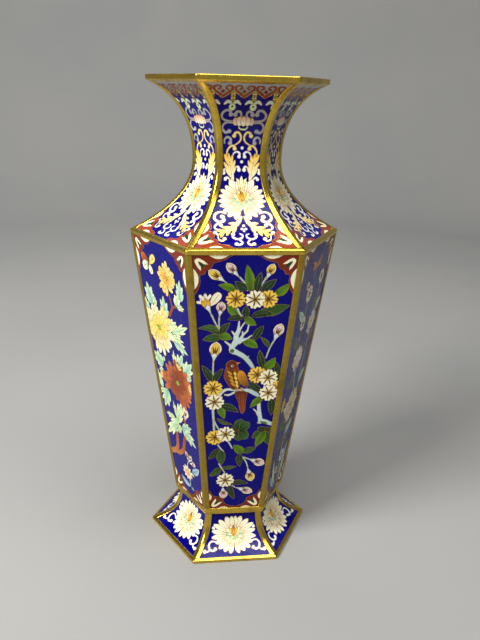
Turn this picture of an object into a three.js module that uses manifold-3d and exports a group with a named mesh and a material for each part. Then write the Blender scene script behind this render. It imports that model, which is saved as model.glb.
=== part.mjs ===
// A six-sided cloisonne vase: a spread foot, a body that widens upwards to a sharp shoulder, and a
// neck that narrows to a throat and opens to a flared rim. Copper plates form the wall, an enamel
// panel lies on each plate, gilt brass strips cover every edge, and an enamel lining coats the inside.
// Millimetres, +Z up, origin at the middle of the foot's underside. The front face looks along -Y.

import * as THREE from 'three';
import { mergeVertices } from 'three/addons/utils/BufferGeometryUtils.js';
import Module from 'manifold-3d';

const wasm = await Module();
wasm.setup();

// Plan of the vase: a regular hexagon, with corners on the X axis.
const SIDES = 6;
const TURN = (2 * Math.PI) / SIDES;
const FACE_OVER_CORNER = Math.cos(TURN / 2);
const HALF_WIDTH_OVER_FACE = Math.tan(TURN / 2);

// Heights, and corner radii at those heights.
const HEIGHT = 305;
const RIM = { radius: 54, underside: 302.2 };
const THROAT = { radius: 27.1, height: 259 };
const SHOULDER = { radius: 65.4, height: 216.3 };
const WAIST = { radius: 38.7, height: 27.5 };
const FOOT_TOP = { radius: 36, height: 27.2 };
const FOOT = { radius: 56.4, edge: 2 };

// How far the curves' control points lie from their ends, in radius and in height.
const FOOT_PULL = { radius: 8.2, height: 3.8, upper: 18.5 };
const NECK_PULL = { radius: 19, height: 9.5, upper: 19 };
const FLARE_PULL = { radius: 4.5, height: 2.1, lower: 33 };

// Layers of the wall, as depths below the brass surface.
const BRASS_DEPTH = 1.5;
const ENAMEL = { outer: 0.5, inner: 1.5 };
const COPPER = { outer: 1.8, inner: 2.8 };
const LINING = { outer: 3.1, inner: 3.8 };
const GAP = 0.35;
const SEAM = 0.2;
const FLOOR_GAP = 0.3;

// Widths of the brass strips on each face.
const CORNER_FLANGE = 2.9;
const SHOULDER_FLANGE = 2.6;
const WAIST_BAND_HEIGHT = 4.8;
const LIP_FLANGE = 2.9;
const FOOT_FLANGE = 2.2;

// The floor of the vase, seated on a shelf of the waist band.
const SHELF = { face: 28, thickness: 0.8 };
const FLOOR_THICKNESS = 1;
const FLOOR_ENAMEL = 0.7;
const UNDERSIDE_ENAMEL = 0.6;
const FLOOR_REST = WAIST.height + SHELF.thickness + FLOOR_GAP;
const FLOOR_TOP = FLOOR_REST + FLOOR_THICKNESS;

const NECK_STEPS = 22;
const FOOT_STEPS = 8;
const BODY_STEPS = 1;

// Cutting shapes reach past the vase; the one for a corner starts a little way from the axis.
const REACH = 90;
const CORNER_START = 10;
const MERGE_TOLERANCE = 1e-4;

const FACE_NAMES = ['front', 'front_right', 'back_right', 'back', 'back_left', 'front_left'];
const CORNER_NAMES = ['front_right', 'right', 'back_right', 'back_left', 'left', 'front_left'];

const MATERIALS = {
  enamel: new THREE.MeshStandardMaterial({ color: 0x0a0a7a, roughness: 0.18, metalness: 0 }),
  lining: new THREE.MeshStandardMaterial({ color: 0x3f9aa0, roughness: 0.3, metalness: 0 }),
  copper: new THREE.MeshStandardMaterial({ color: 0xb06a42, roughness: 0.45, metalness: 1 }),
  brass: new THREE.MeshStandardMaterial({ color: 0xb8962e, roughness: 0.35, metalness: 1 }),
};

// The wall lines lie in the plane through the middle of a face: x is the distance from the axis to
// the brass surface of the face, y is the height. Each runs from bottom to top.
function level(radius, height) {
  return new THREE.Vector2(radius * FACE_OVER_CORNER, height);
}

function wallLine(...curves) {
  const line = new THREE.CurvePath();
  curves.forEach((curve) => line.add(curve));
  return line;
}

const footLine = wallLine(new THREE.CubicBezierCurve(
  level(FOOT.radius, FOOT.edge),
  level(FOOT.radius - FOOT_PULL.radius, FOOT.edge + FOOT_PULL.height),
  level(FOOT_TOP.radius, FOOT_TOP.height - FOOT_PULL.upper),
  level(FOOT_TOP.radius, FOOT_TOP.height),
));

const bodyLine = wallLine(new THREE.LineCurve(
  level(WAIST.radius, WAIST.height),
  level(SHOULDER.radius, SHOULDER.height),
));

const neckLine = wallLine(
  new THREE.CubicBezierCurve(
    level(SHOULDER.radius, SHOULDER.height),
    level(SHOULDER.radius - NECK_PULL.radius, SHOULDER.height + NECK_PULL.height),
    level(THROAT.radius, THROAT.height - NECK_PULL.upper),
    level(THROAT.radius, THROAT.height),
  ),
  new THREE.CubicBezierCurve(
    level(THROAT.radius, THROAT.height),
    level(THROAT.radius, THROAT.height + FLARE_PULL.lower),
    level(RIM.radius - FLARE_PULL.radius, RIM.underside - FLARE_PULL.height),
    level(RIM.radius, RIM.underside),
  ),
);

const FOOT_LENGTH = footLine.getLength();
const BODY_LENGTH = bodyLine.getLength();
const NECK_LENGTH = neckLine.getLength();

// The point at a length along a wall line, moved inwards by a depth.
function wallPoint(line, along, depth) {
  const t = along / line.getLength();
  const tangent = line.getTangent(t);
  const inwards = new THREE.Vector2(-tangent.y, tangent.x);
  return line.getPoint(t).addScaledVector(inwards, depth);
}

function wallPoints(line, from, to, depth, steps) {
  const points = [];
  for (let i = 0; i <= steps; i += 1) {
    points.push(wallPoint(line, THREE.MathUtils.lerp(from, to, i / steps), depth));
  }
  return points;
}

// The closed section of a layer between two depths.
function layerSection(line, from, to, layer, steps) {
  const outside = wallPoints(line, from, to, layer.outer, steps);
  const inside = wallPoints(line, from, to, layer.inner, steps);
  return [...outside, ...inside.reverse()];
}

// The height along the straight body line, as a length along it.
function bodyLengthAt(height) {
  return (BODY_LENGTH * (height - WAIST.height)) / (SHOULDER.height - WAIST.height);
}

// How far short of the shoulder's edge a layer stops, so that body and neck don't cross.
function mitre(depth) {
  const bodyTurn = bodyLine.getTangent(1).angle();
  const neckTurn = neckLine.getTangent(0).angle();
  return depth * Math.tan((neckTurn - bodyTurn) / 2);
}

function toSolid(geometry) {
  const bare = new THREE.BufferGeometry();
  bare.setAttribute('position', geometry.getAttribute('position'));
  bare.setIndex(geometry.getIndex());
  const merged = mergeVertices(bare, MERGE_TOLERANCE);
  return new wasm.Manifold(new wasm.Mesh({
    numProp: 3,
    vertProperties: new Float32Array(merged.getAttribute('position').array),
    triVerts: new Uint32Array(merged.getIndex().array),
  }));
}

function toGeometry(solid) {
  const mesh = solid.getMesh();
  const geometry = new THREE.BufferGeometry();
  geometry.setAttribute('position', new THREE.BufferAttribute(mesh.vertProperties, 3));
  geometry.setIndex(new THREE.BufferAttribute(mesh.triVerts, 1));
  return geometry;
}

// A six-sided ring or cup: a section turned round the axis in six flat steps.
function turned(section) {
  const radial = section.map((point) => new THREE.Vector2(point.x / FACE_OVER_CORNER, point.y));
  const onAxis = radial[0].x === 0;
  const profile = onAxis ? radial : [...radial, radial[0].clone()];
  return toSolid(new THREE.LatheGeometry(profile, SIDES, TURN / 2).rotateX(Math.PI / 2));
}

// A slab on the front face: a section drawn out across the whole width of the face.
function slab(section) {
  const across = new THREE.ExtrudeGeometry(new THREE.Shape(section), {
    depth: 2 * REACH,
    bevelEnabled: false,
  });
  across.translate(0, 0, -REACH);
  across.applyMatrix4(new THREE.Matrix4().makeBasis(
    new THREE.Vector3(0, -1, 0),
    new THREE.Vector3(0, 0, 1),
    new THREE.Vector3(-1, 0, 0),
  ));
  return toSolid(across);
}

// The room of the front face in plan, kept a margin away from both corners.
function faceRoom(margin) {
  const half = REACH * HALF_WIDTH_OVER_FACE - margin;
  const plan = new THREE.Shape([
    new THREE.Vector2(0, -margin / HALF_WIDTH_OVER_FACE),
    new THREE.Vector2(-half, -REACH),
    new THREE.Vector2(half, -REACH),
  ]);
  const room = new THREE.ExtrudeGeometry(plan, { depth: 2 * HEIGHT, bevelEnabled: false });
  return toSolid(room.translate(0, 0, -HEIGHT / 2));
}

// The room of the corner between the front face and the one on its right.
function cornerRoom() {
  const room = new THREE.BoxGeometry(REACH, 2 * CORNER_FLANGE * FACE_OVER_CORNER, 2 * HEIGHT);
  return toSolid(room.translate(REACH / 2 + CORNER_START, 0, HEIGHT / 2).rotateZ(-TURN));
}

function facePiece(section, margin) {
  return toGeometry(slab(section).intersect(faceRoom(margin)));
}

function cornerPiece(section) {
  return toGeometry(turned(section).intersect(cornerRoom()));
}

const vase = new THREE.Group();

function place(name, geometry, material, turns = 0) {
  const mesh = new THREE.Mesh(geometry, material.clone());
  mesh.name = name;
  mesh.rotation.z = turns * TURN;
  vase.add(mesh);
}

function placeRound(prefix, names, geometry, material) {
  names.forEach((name, turns) => place(`${prefix}_${name}`, geometry, material, turns));
}

// Copper plates, mitred at the corners, with a bent seam at the shoulder.
function copperPlates() {
  const shoulderSeam = mitre(COPPER.inner) + SEAM;
  const neck = layerSection(neckLine, shoulderSeam, NECK_LENGTH - LIP_FLANGE - GAP, COPPER, NECK_STEPS);
  const bodyStart = bodyLengthAt(FLOOR_TOP + 2 * FLOOR_GAP);
  const body = layerSection(bodyLine, bodyStart, BODY_LENGTH - shoulderSeam, COPPER, BODY_STEPS);
  placeRound('neck_plate', FACE_NAMES, facePiece(neck, SEAM), MATERIALS.copper);
  placeRound('body_plate', FACE_NAMES, facePiece(body, SEAM), MATERIALS.copper);
}

function footSkirt() {
  const section = layerSection(footLine, FOOT_FLANGE + GAP, FOOT_LENGTH, COPPER, FOOT_STEPS);
  place('foot_skirt', toGeometry(turned(section)), MATERIALS.copper);
}

function floorPlate() {
  const edge = wallPoint(bodyLine, 0, BRASS_DEPTH).x - GAP;
  const section = [
    new THREE.Vector2(0, FLOOR_REST),
    new THREE.Vector2(edge, FLOOR_REST),
    new THREE.Vector2(edge, FLOOR_TOP),
    new THREE.Vector2(0, FLOOR_TOP),
  ];
  place('floor_plate', toGeometry(turned(section)), MATERIALS.copper);
}

// Enamel panels, each inside its frame of brass strips.
function enamelPanels() {
  const margin = CORNER_FLANGE + GAP;
  const neck = layerSection(
    neckLine, SHOULDER_FLANGE + GAP, NECK_LENGTH - LIP_FLANGE - GAP, ENAMEL, NECK_STEPS);
  const body = layerSection(
    bodyLine, WAIST_BAND_HEIGHT + GAP, BODY_LENGTH - SHOULDER_FLANGE - GAP, ENAMEL, BODY_STEPS);
  const foot = layerSection(footLine, FOOT_FLANGE + GAP, FOOT_LENGTH, ENAMEL, FOOT_STEPS);
  placeRound('neck_panel', FACE_NAMES, facePiece(neck, margin), MATERIALS.enamel);
  placeRound('body_panel', FACE_NAMES, facePiece(body, margin), MATERIALS.enamel);
  placeRound('foot_panel', FACE_NAMES, facePiece(foot, margin), MATERIALS.enamel);
}

// The body's side of the lining: the line at one depth, from the middle of the floor to the shoulder.
function cupLine(depth, floorHeight) {
  return [
    new THREE.Vector2(0, floorHeight),
    new THREE.Vector2(wallPoint(bodyLine, bodyLengthAt(floorHeight), depth).x, floorHeight),
    wallPoint(bodyLine, BODY_LENGTH - mitre(LINING.inner) - SEAM, depth),
  ];
}

function interiorLining() {
  const floor = FLOOR_TOP + FLOOR_GAP;
  const outside = cupLine(LINING.outer, floor);
  const inside = cupLine(LINING.inner, floor + FLOOR_ENAMEL);
  const neck = layerSection(
    neckLine, mitre(LINING.inner) + SEAM, NECK_LENGTH - LIP_FLANGE - GAP, LINING, NECK_STEPS);
  place('body_lining', toGeometry(turned([...outside, ...inside.reverse()])), MATERIALS.lining);
  place('neck_lining', toGeometry(turned(neck)), MATERIALS.lining);
}

function undersideEnamel() {
  const top = FLOOR_REST - FLOOR_GAP;
  const section = [
    new THREE.Vector2(0, top - UNDERSIDE_ENAMEL),
    new THREE.Vector2(SHELF.face - GAP, top - UNDERSIDE_ENAMEL),
    new THREE.Vector2(SHELF.face - GAP, top),
    new THREE.Vector2(0, top),
  ];
  place('underside_enamel', toGeometry(turned(section)), MATERIALS.lining);
}

// Gilt brass strips over the corners.
function cornerStrips() {
  const brass = { outer: 0, inner: BRASS_DEPTH };
  const neck = layerSection(
    neckLine, SHOULDER_FLANGE + GAP, NECK_LENGTH - LIP_FLANGE - GAP, brass, NECK_STEPS);
  const body = layerSection(
    bodyLine, WAIST_BAND_HEIGHT + GAP, BODY_LENGTH - SHOULDER_FLANGE - GAP, brass, BODY_STEPS);
  const foot = layerSection(footLine, FOOT_FLANGE + GAP, FOOT_LENGTH, brass, FOOT_STEPS);
  placeRound('neck_rib', CORNER_NAMES, cornerPiece(neck), MATERIALS.brass);
  placeRound('body_bar', CORNER_NAMES, cornerPiece(body), MATERIALS.brass);
  placeRound('foot_rib', CORNER_NAMES, cornerPiece(foot), MATERIALS.brass);
}

// The rim's flat-topped lip, closed off square to the wall on its inner side.
function rimLip() {
  const edge = wallPoint(neckLine, NECK_LENGTH, 0);
  const under = wallPoint(neckLine, NECK_LENGTH - LIP_FLANGE, 0);
  const deep = wallPoint(neckLine, NECK_LENGTH - LIP_FLANGE, BRASS_DEPTH);
  const climb = (HEIGHT - under.y) / (deep.y - under.y);
  const section = [
    edge,
    new THREE.Vector2(edge.x, HEIGHT),
    new THREE.Vector2(THREE.MathUtils.lerp(under.x, deep.x, climb), HEIGHT),
    under,
  ];
  place('rim_lip', toGeometry(turned(section)), MATERIALS.brass);
}

// The bent strip over the shoulder's edge, with a flange on the neck and one on the body.
function shoulderBand() {
  const section = [
    wallPoint(bodyLine, BODY_LENGTH - SHOULDER_FLANGE, 0),
    wallPoint(bodyLine, BODY_LENGTH, 0),
    wallPoint(neckLine, SHOULDER_FLANGE, 0),
    wallPoint(neckLine, SHOULDER_FLANGE, BRASS_DEPTH),
    wallPoint(bodyLine, BODY_LENGTH - mitre(BRASS_DEPTH), BRASS_DEPTH),
    wallPoint(bodyLine, BODY_LENGTH - SHOULDER_FLANGE, BRASS_DEPTH),
  ];
  place('shoulder_band', toGeometry(turned(section)), MATERIALS.brass);
}

// The strip round the waist, with an inner shelf that carries the floor and stands on the foot.
function waistBand() {
  const shelfTop = WAIST.height + SHELF.thickness;
  const inner = wallPoint(bodyLine, bodyLengthAt(shelfTop), BRASS_DEPTH);
  const section = [
    wallPoint(bodyLine, 0, 0),
    wallPoint(bodyLine, WAIST_BAND_HEIGHT, 0),
    wallPoint(bodyLine, WAIST_BAND_HEIGHT, BRASS_DEPTH),
    new THREE.Vector2(inner.x, shelfTop),
    new THREE.Vector2(SHELF.face, shelfTop),
    new THREE.Vector2(SHELF.face, WAIST.height),
  ];
  place('waist_band', toGeometry(turned(section)), MATERIALS.brass);
}

// The foot's edge: an upright strip with a flange on the slope and a flat underside.
function footBand() {
  const edge = wallPoint(footLine, 0, 0);
  const inner = wallPoint(footLine, FOOT_FLANGE, COPPER.inner);
  const section = [
    new THREE.Vector2(edge.x, 0),
    edge,
    wallPoint(footLine, FOOT_FLANGE, 0),
    inner,
    new THREE.Vector2(inner.x, 0),
  ];
  place('foot_band', toGeometry(turned(section)), MATERIALS.brass);
}

copperPlates();
footSkirt();
floorPlate();
enamelPanels();
interiorLining();
undersideEnamel();
cornerStrips();
rimLip();
shoulderBand();
waistBand();
footBand();

export default vase;
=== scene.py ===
"""Looks of a six-sided cloisonne vase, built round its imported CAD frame.

Lengths inside the script are millimetres unless a name says otherwise; Blender objects are in metres.
A flat drawing on a panel is held as complex numbers: the real part runs across the panel to the
right, and the imaginary part runs up the wall from the bottom edge of its stretch.
"""
import math

import bpy
import numpy as np
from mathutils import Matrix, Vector
from mathutils.geometry import delaunay_2d_cdt


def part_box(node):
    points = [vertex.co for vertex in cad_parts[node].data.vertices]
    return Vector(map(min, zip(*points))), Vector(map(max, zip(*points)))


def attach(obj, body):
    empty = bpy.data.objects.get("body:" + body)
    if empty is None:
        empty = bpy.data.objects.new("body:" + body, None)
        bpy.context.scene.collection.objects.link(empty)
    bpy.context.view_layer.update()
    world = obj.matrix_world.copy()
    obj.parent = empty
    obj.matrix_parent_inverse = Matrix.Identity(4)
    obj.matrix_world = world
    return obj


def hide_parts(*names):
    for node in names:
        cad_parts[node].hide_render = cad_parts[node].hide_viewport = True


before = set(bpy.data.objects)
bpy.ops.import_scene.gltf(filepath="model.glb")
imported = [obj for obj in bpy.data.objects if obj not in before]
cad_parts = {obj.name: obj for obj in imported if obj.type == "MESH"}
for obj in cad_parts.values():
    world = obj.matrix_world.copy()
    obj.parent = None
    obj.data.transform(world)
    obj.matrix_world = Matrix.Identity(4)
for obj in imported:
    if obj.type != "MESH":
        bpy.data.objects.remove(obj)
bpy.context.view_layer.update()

MM = 0.001
SIDES = 6
TURN = math.tau / SIDES
FACE_OVER_CORNER = math.cos(TURN / 2)
HALF_WIDTH_OVER_FACE = math.tan(TURN / 2)
FACES = ("front", "front_right", "back_right", "back", "back_left", "front_left")
CORNERS = ("front_right", "right", "back_right", "back_left", "left", "front_left")


def lowest(node):
    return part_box(node)[0] / MM


def highest(node):
    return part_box(node)[1] / MM


# (Corner radius, height) of the vase's main levels.
HEIGHT = highest("rim_lip").z
LIP_HEIGHT = 2.8
RIM = highest("rim_lip").x, HEIGHT - LIP_HEIGHT
THROAT = 27.1, 259
SHOULDER = highest("shoulder_band").x, 216.3
WAIST = 38.7, lowest("waist_band").z
FOOT_TOP = 36, highest("foot_skirt").z
FOOT = highest("foot_band").x, 2

# How far the wall curves' control points lie from the curves' ends, as (radius, height).
FOOT_PULL, FOOT_TOP_PULL = (-8.2, 3.8), (0, -18.5)
SHOULDER_PULL, THROAT_PULL = (-19, 9.5), (0, -19)
FLARE_PULL, RIM_PULL = (0, 33), (-4.5, -2.1)

# The wall's layers, as depths below the brass surface, and the brass strips' widths.
BRASS_DEPTH = 1.5
ENAMEL_DEPTH, ENAMEL_BACK = 0.5, 1.5
COPPER_BACK = 2.8
LINING_DEPTH, LINING_BACK = 3.8, 3.1
CORNER_FLANGE = 2.9
SHOULDER_FLANGE = 2.6
WAIST_BAND = 4.8
LIP_FLANGE = 2.9
FOOT_FLANGE = 2.2

# Gaps: the joint line between brass pieces, and the seam between the two linings at the shoulder.
JOINT = 0.06
SEAM = 0.2

# How uneven the brass is, and the angle in degrees above which an edge of it shows as sharp.
STRIP_UNEVENNESS, BAND_UNEVENNESS = 0.09, 0.08
STRIP_SHARP_ANGLE, RING_SHARP_ANGLE = 40, 35

# How much painted sheen the enamel gets: pale blue patches in its colour that stand for hazy reflections of
# light; the foot's is like the neck's.
BODY_PAINTED_SHEEN, NECK_PAINTED_SHEEN = 0.03, 0.1

# The gilt wires between the enamel colours, and the reach within which points of a drawing merge.
WIRE = 0.25
CROWN = 0.04
MERGE_REACH = 1e-3


# ---------------------------------------------------------------- walls

def bezier(start, start_pull, end_pull, end, steps=90):
    """A cubic curve whose control points lie at the two pulls from its ends."""
    t = np.linspace(0, 1, steps)[:, None]
    start, end = np.array(start, float), np.array(end, float)
    corners = start, start + start_pull, end + end_pull, end
    weights = (1 - t) ** 3, 3 * (1 - t) ** 2 * t, 3 * (1 - t) * t ** 2, t ** 3
    return sum(w * p for w, p in zip(weights, corners))


class Wall:
    """A stretch of wall as a line of (corner radius, height), from bottom to top."""

    def __init__(self, *stretches):
        points = np.vstack(stretches)
        keep = np.r_[True, np.linalg.norm(np.diff(points, axis=0), axis=1) > 1e-6]
        points = points[keep] * (FACE_OVER_CORNER, 1)
        steps = np.linalg.norm(np.diff(points, axis=0), axis=1)
        self.along = np.r_[0, np.cumsum(steps)]
        self.length = self.along[-1]
        self.points = points
        slope = np.gradient(points, self.along, axis=0)
        self.slope = slope / np.linalg.norm(slope, axis=1)[:, None]

    def section(self, s, depth=0.0):
        """Distance of the face from the axis, and height, at a length s and a depth."""
        distance, height = (np.interp(s, self.along, self.points[:, i]) for i in (0, 1))
        out, up = (np.interp(s, self.along, self.slope[:, i]) for i in (0, 1))
        return distance - up * depth, height + out * depth

    def half_width(self, s, depth=0.0):
        return self.section(s, depth)[0] * HALF_WIDTH_OVER_FACE

    def place(self, face, x, s, depth=0.0):
        """Points in space, in metres, of (x, s) on one of the six faces."""
        distance, height = self.section(s, depth)
        angle = face * TURN
        across = x * math.cos(angle) + distance * math.sin(angle)
        deep = x * math.sin(angle) - distance * math.cos(angle)
        return np.stack(np.broadcast_arrays(across, deep, height), -1) * MM


foot_wall = Wall(bezier(FOOT, FOOT_PULL, FOOT_TOP_PULL, FOOT_TOP))
body_wall = Wall([WAIST, SHOULDER])
neck_wall = Wall(
    bezier(SHOULDER, SHOULDER_PULL, THROAT_PULL, THROAT),
    bezier(THROAT, FLARE_PULL, RIM_PULL, RIM),
)


# ---------------------------------------------------------------- colours

def colour(red, green, blue):
    """A linear colour from the 0 to 255 numbers of a paint chart."""
    share = np.array([red, green, blue]) / 255
    return np.where(share <= 0.04045, share / 12.92, ((share + 0.055) / 1.055) ** 2.4)


COBALT = colour(4, 2, 112)
CREAM = colour(252, 246, 212)
WHITE = colour(244, 246, 250)
PALE_CELADON = colour(208, 226, 222)
YELLOW = colour(248, 206, 84)
PALE_YELLOW = colour(246, 224, 140)
AMBER = colour(226, 150, 40)
HONEY = colour(214, 146, 36)
PINK = colour(240, 208, 212)
PEACH = colour(222, 170, 130)
BRICK = colour(142, 58, 36)
# MAROON is also the body brackets' colour: a darker copy of BRICK, painted shade.
MAROON = colour(122, 44, 24)
BRONZE = colour(116, 84, 34)
BROWN = colour(104, 44, 24)
RUST = colour(150, 64, 30)
ORANGE = colour(196, 98, 40)
CELADON = colour(176, 206, 200)
GREEN_LIGHT = colour(128, 172, 30)
GREEN = colour(70, 118, 56)
GREEN_DARK = colour(32, 66, 36)
JADE = colour(150, 210, 186)
MINT = colour(200, 236, 176)
GREY = colour(168, 176, 184)
# The darker grey at the foot of the cloud collar under the lip, painted darker as painted shade.
SHADED_STEEL = colour(112, 128, 140)
GILT = colour(206, 164, 84)


def flat(shade):
    return lambda z: np.tile(shade, (len(z), 1))


def blend(near, far, t):
    t = np.clip(t, 0, 1)[:, None]
    return near * (1 - t) + far * t


def along(start, end, near, far):
    """Shades from one colour at start to another at end."""
    way = end - start
    return lambda z: blend(near, far, ((z - start) * np.conj(way)).real / abs(way) ** 2)


def round_from(centre, reach, near, far, power=1.0):
    return lambda z: blend(near, far, (abs(z - centre) / reach) ** power)


# ---------------------------------------------------------------- outlines

def smooth(points, closed=False, steps=4):
    """A curve through the points, by Catmull-Rom spans."""
    p = np.array(points, complex)
    if closed:
        p = np.r_[p[-1], p, p[:2]]
    else:
        p = np.r_[2 * p[0] - p[1], p, 2 * p[-1] - p[-2]]
    t = np.linspace(0, 1, steps, endpoint=False)
    a, b, c, d = (p[i:len(p) - 3 + i, None] for i in range(4))
    spans = 0.5 * (2 * b + (c - a) * t + (2 * a - 5 * b + 4 * c - d) * t ** 2
                   + (3 * b - a - 3 * c + d) * t ** 3)
    curve = spans.ravel()
    return curve if closed else np.r_[curve, p[-2]]


def arc(start, end, bulge, steps=8):
    """Points from start to just before end on an arc that bulges to the right of the way."""
    t = np.linspace(0, 1, steps, endpoint=False)
    way = end - start
    return start + way * t - 1j * way * bulge * 4 * t * (1 - t)


def ring(centre, across, high=None, steps=14):
    angle = np.linspace(0, math.tau, steps, endpoint=False)
    high = across if high is None else high
    return centre + across * np.cos(angle) + 1j * high * np.sin(angle)


def blade(base, tip, width, root=1.0, point=1.0, bend=0.0, steps=9):
    """A leaf or petal outline and its midrib; root and point set how blunt the two ends are."""
    t = (1 - np.cos(np.linspace(0, math.pi, steps))) / 2
    peak = root / (root + point)
    spread = t ** root * (1 - t) ** point / (peak ** root * (1 - peak) ** point)
    axis = tip - base
    side = 1j * axis / abs(axis)
    rib = base + axis * t + side * bend * 4 * t * (1 - t)
    half = side * spread * width / 2
    return np.r_[rib - half, (rib + half)[-2:0:-1]], rib


def ribbon(line, *widths, caps=True):
    """A band along a line, its widths spread evenly from start to end, with round ends."""
    line = np.array(line, complex)
    half = np.interp(np.linspace(0, 1, len(line)), np.linspace(0, 1, len(widths)), widths) / 2
    way = np.gradient(line)
    way = way / abs(way)
    right, left = line - 1j * way * half, line + 1j * way * half
    if not caps:
        return np.r_[right, left[::-1]]
    swing = np.exp(1j * np.linspace(-math.pi / 2, math.pi / 2, 5)[1:-1])
    end_cap = line[-1] + way[-1] * half[-1] * swing
    start_cap = line[0] - way[0] * half[0] * swing
    return np.r_[right, end_cap, left[::-1], start_cap]


def limb(points, *widths, steps=4):
    return ribbon(smooth(points, steps=steps), *widths)


def lobe(base, tip, width, half, steps=3):
    """An outline with the same two sides, given as shares of the length and of the half width."""
    axis = tip - base
    across = -1j * axis / abs(axis) * width / 2
    side = smooth([base + axis * u + across * v for u, v in half], steps=steps)
    other = base + axis * np.conj((side - base) / axis)
    return np.r_[side, other[-2:0:-1]]


def fan(base, tip, spread, lobes, depth=0.2, steps=5):
    """A ruffled petal: a fan from base to tip, whose far edge has round lobes of unequal length."""
    v = np.linspace(0, 1, lobes * steps + 1)
    ruffle = 1 - depth + depth * abs(np.sin(lobes * math.pi * v)) ** 0.6
    reach = ruffle * (0.86 + 0.14 * np.sin(math.pi * v)) * (1 + 0.07 * np.sin(11 * v + abs(tip)))
    edge = base + (tip - base) * reach * np.exp(1j * spread * (2 * v - 1))
    return np.r_[base, base + (edge[0] - base) * 0.5, edge, base + (edge[-1] - base) * 0.5]


def grown(outline, by):
    """A closed outline moved outwards, or inwards when by is negative."""
    z = np.array(outline, complex)
    z = z[abs(z - np.roll(z, 1)) > 1e-4]
    if (z * np.conj(np.roll(z, -1))).imag.sum() > 0:
        z = z[::-1]
    before, after = z - np.roll(z, 1), np.roll(z, -1) - z
    normals = -1j * before / abs(before), -1j * after / abs(after)
    middle = normals[0] + normals[1] + 1e-9
    middle = middle / abs(middle)
    return z + by * middle / np.maximum((middle * np.conj(normals[0])).real, 0.6)


# ---------------------------------------------------------------- drawings

class Drawing:
    """Enamel cells on a panel, later ones over earlier ones, each ringed by its gilt wire."""

    def __init__(self, wall, low, high, ground, row=None):
        """A panel from low to high up a wall; on a curved wall, rows a step apart follow the curve."""
        self.wall, self.low, self.high = wall, low, high
        stations = np.arange(low, high, row) if row else np.array([low])
        self.rows = np.r_[stations[stations < high - 0.3 * (row or 1)], high]
        half = wall.half_width(self.rows, ENAMEL_DEPTH) - CORNER_FLANGE - JOINT
        self.outline = np.r_[half + 1j * self.rows, (-half + 1j * self.rows)[::-1]]
        self.layers = [(grown(self.outline, 0.5), ground)]
        self.crowns = []
        self.mirrored = False

    def edge(self, s):
        """How far the panel reaches from its middle at a height."""
        return self.wall.half_width(s, ENAMEL_DEPTH) - CORNER_FLANGE

    def add(self, outline, paint):
        """A layer of enamel with its paint, or of wire where there is no paint."""
        if self.mirrored:
            self.layers.append((-np.conj(outline)[::-1], paint and (lambda z: paint(-np.conj(z)))))
        else:
            self.layers.append((outline, paint))

    def crown(self, line, closed):
        """The line along the middle of a wire, where it stands a little higher."""
        line = np.array(line, complex)
        self.crowns.append((-np.conj(line) if self.mirrored else line, closed))

    def cells(self, outlines, paint, wire=WIRE):
        """Cells of one colour that run into each other with no wire between them."""
        for outline in outlines:
            self.add(grown(outline, wire / 2), None)
            self.crown(outline, True)
        for outline in outlines:
            self.add(grown(outline, -wire / 2), paint)

    def cell(self, outline, paint, wire=WIRE):
        """One cell of enamel with its wire round it."""
        self.cells([outline], paint, wire)

    def wire(self, line, width=WIRE):
        """A loose wire that closes off no cell."""
        self.add(grown(ribbon(line, width, caps=False), 0), None)
        self.crown(line, False)

    def pair(self, draw, *values):
        """Draws something and its mirror image across the panel's middle."""
        draw(self, *values)
        self.mirrored = True
        draw(self, *values)
        self.mirrored = False


def inside(points, outline):
    """The numbers of the points that lie inside an outline that runs anticlockwise."""
    x, y = outline.real, outline.imag
    px, py = points.real, points.imag
    near = np.nonzero((px > x.min()) & (px < x.max()) & (py > y.min()) & (py < y.max()))[0]
    if not len(near):
        return near
    px, py = px[near, None], py[near, None]
    next_x, next_y = np.roll(x, -1), np.roll(y, -1)
    side = (next_x - x) * (py - y) - (px - x) * (next_y - y)
    rising = (y <= py) & (next_y > py) & (side > 0)
    falling = (next_y <= py) & (y > py) & (side < 0)
    return near[rising.sum(1) - falling.sum(1) > 0]


def triangle_edges(triangles):
    """The pairs of points at the ends of the triangles' edges, anticlockwise."""
    return np.concatenate([triangles[:, (i, (i + 1) % 3)] for i in range(3)])


def cut_up(drawing):
    """Triangles over the panel that follow every outline, wire crown and row of the drawing."""
    width = abs(drawing.outline.real).max() + 1
    panel_edge = grown(drawing.outline, 0)
    chains = [(panel_edge, True)]
    chains += [(outline, True) for outline, _ in drawing.layers[1:]]
    chains += drawing.crowns
    chains += [(np.array([-width + 1j * s, width + 1j * s]), False) for s in drawing.rows[1:-1]]
    coords, edges = [], []
    for chain, closed in chains:
        start, count = len(coords), len(chain)
        coords.extend(chain)
        edges.extend((start + i, start + i + 1) for i in range(count - 1))
        if closed:
            edges.append((start + count - 1, start))
    corners = [Vector((z.real, z.imag)) for z in coords]
    points, _, faces, *_ = delaunay_2d_cdt(corners, edges, [], 0, MERGE_REACH)
    points = np.array([complex(p.x, p.y) for p in points])
    faces = np.array(faces)
    return points, faces[inside(points[faces].mean(1), panel_edge)]


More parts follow.
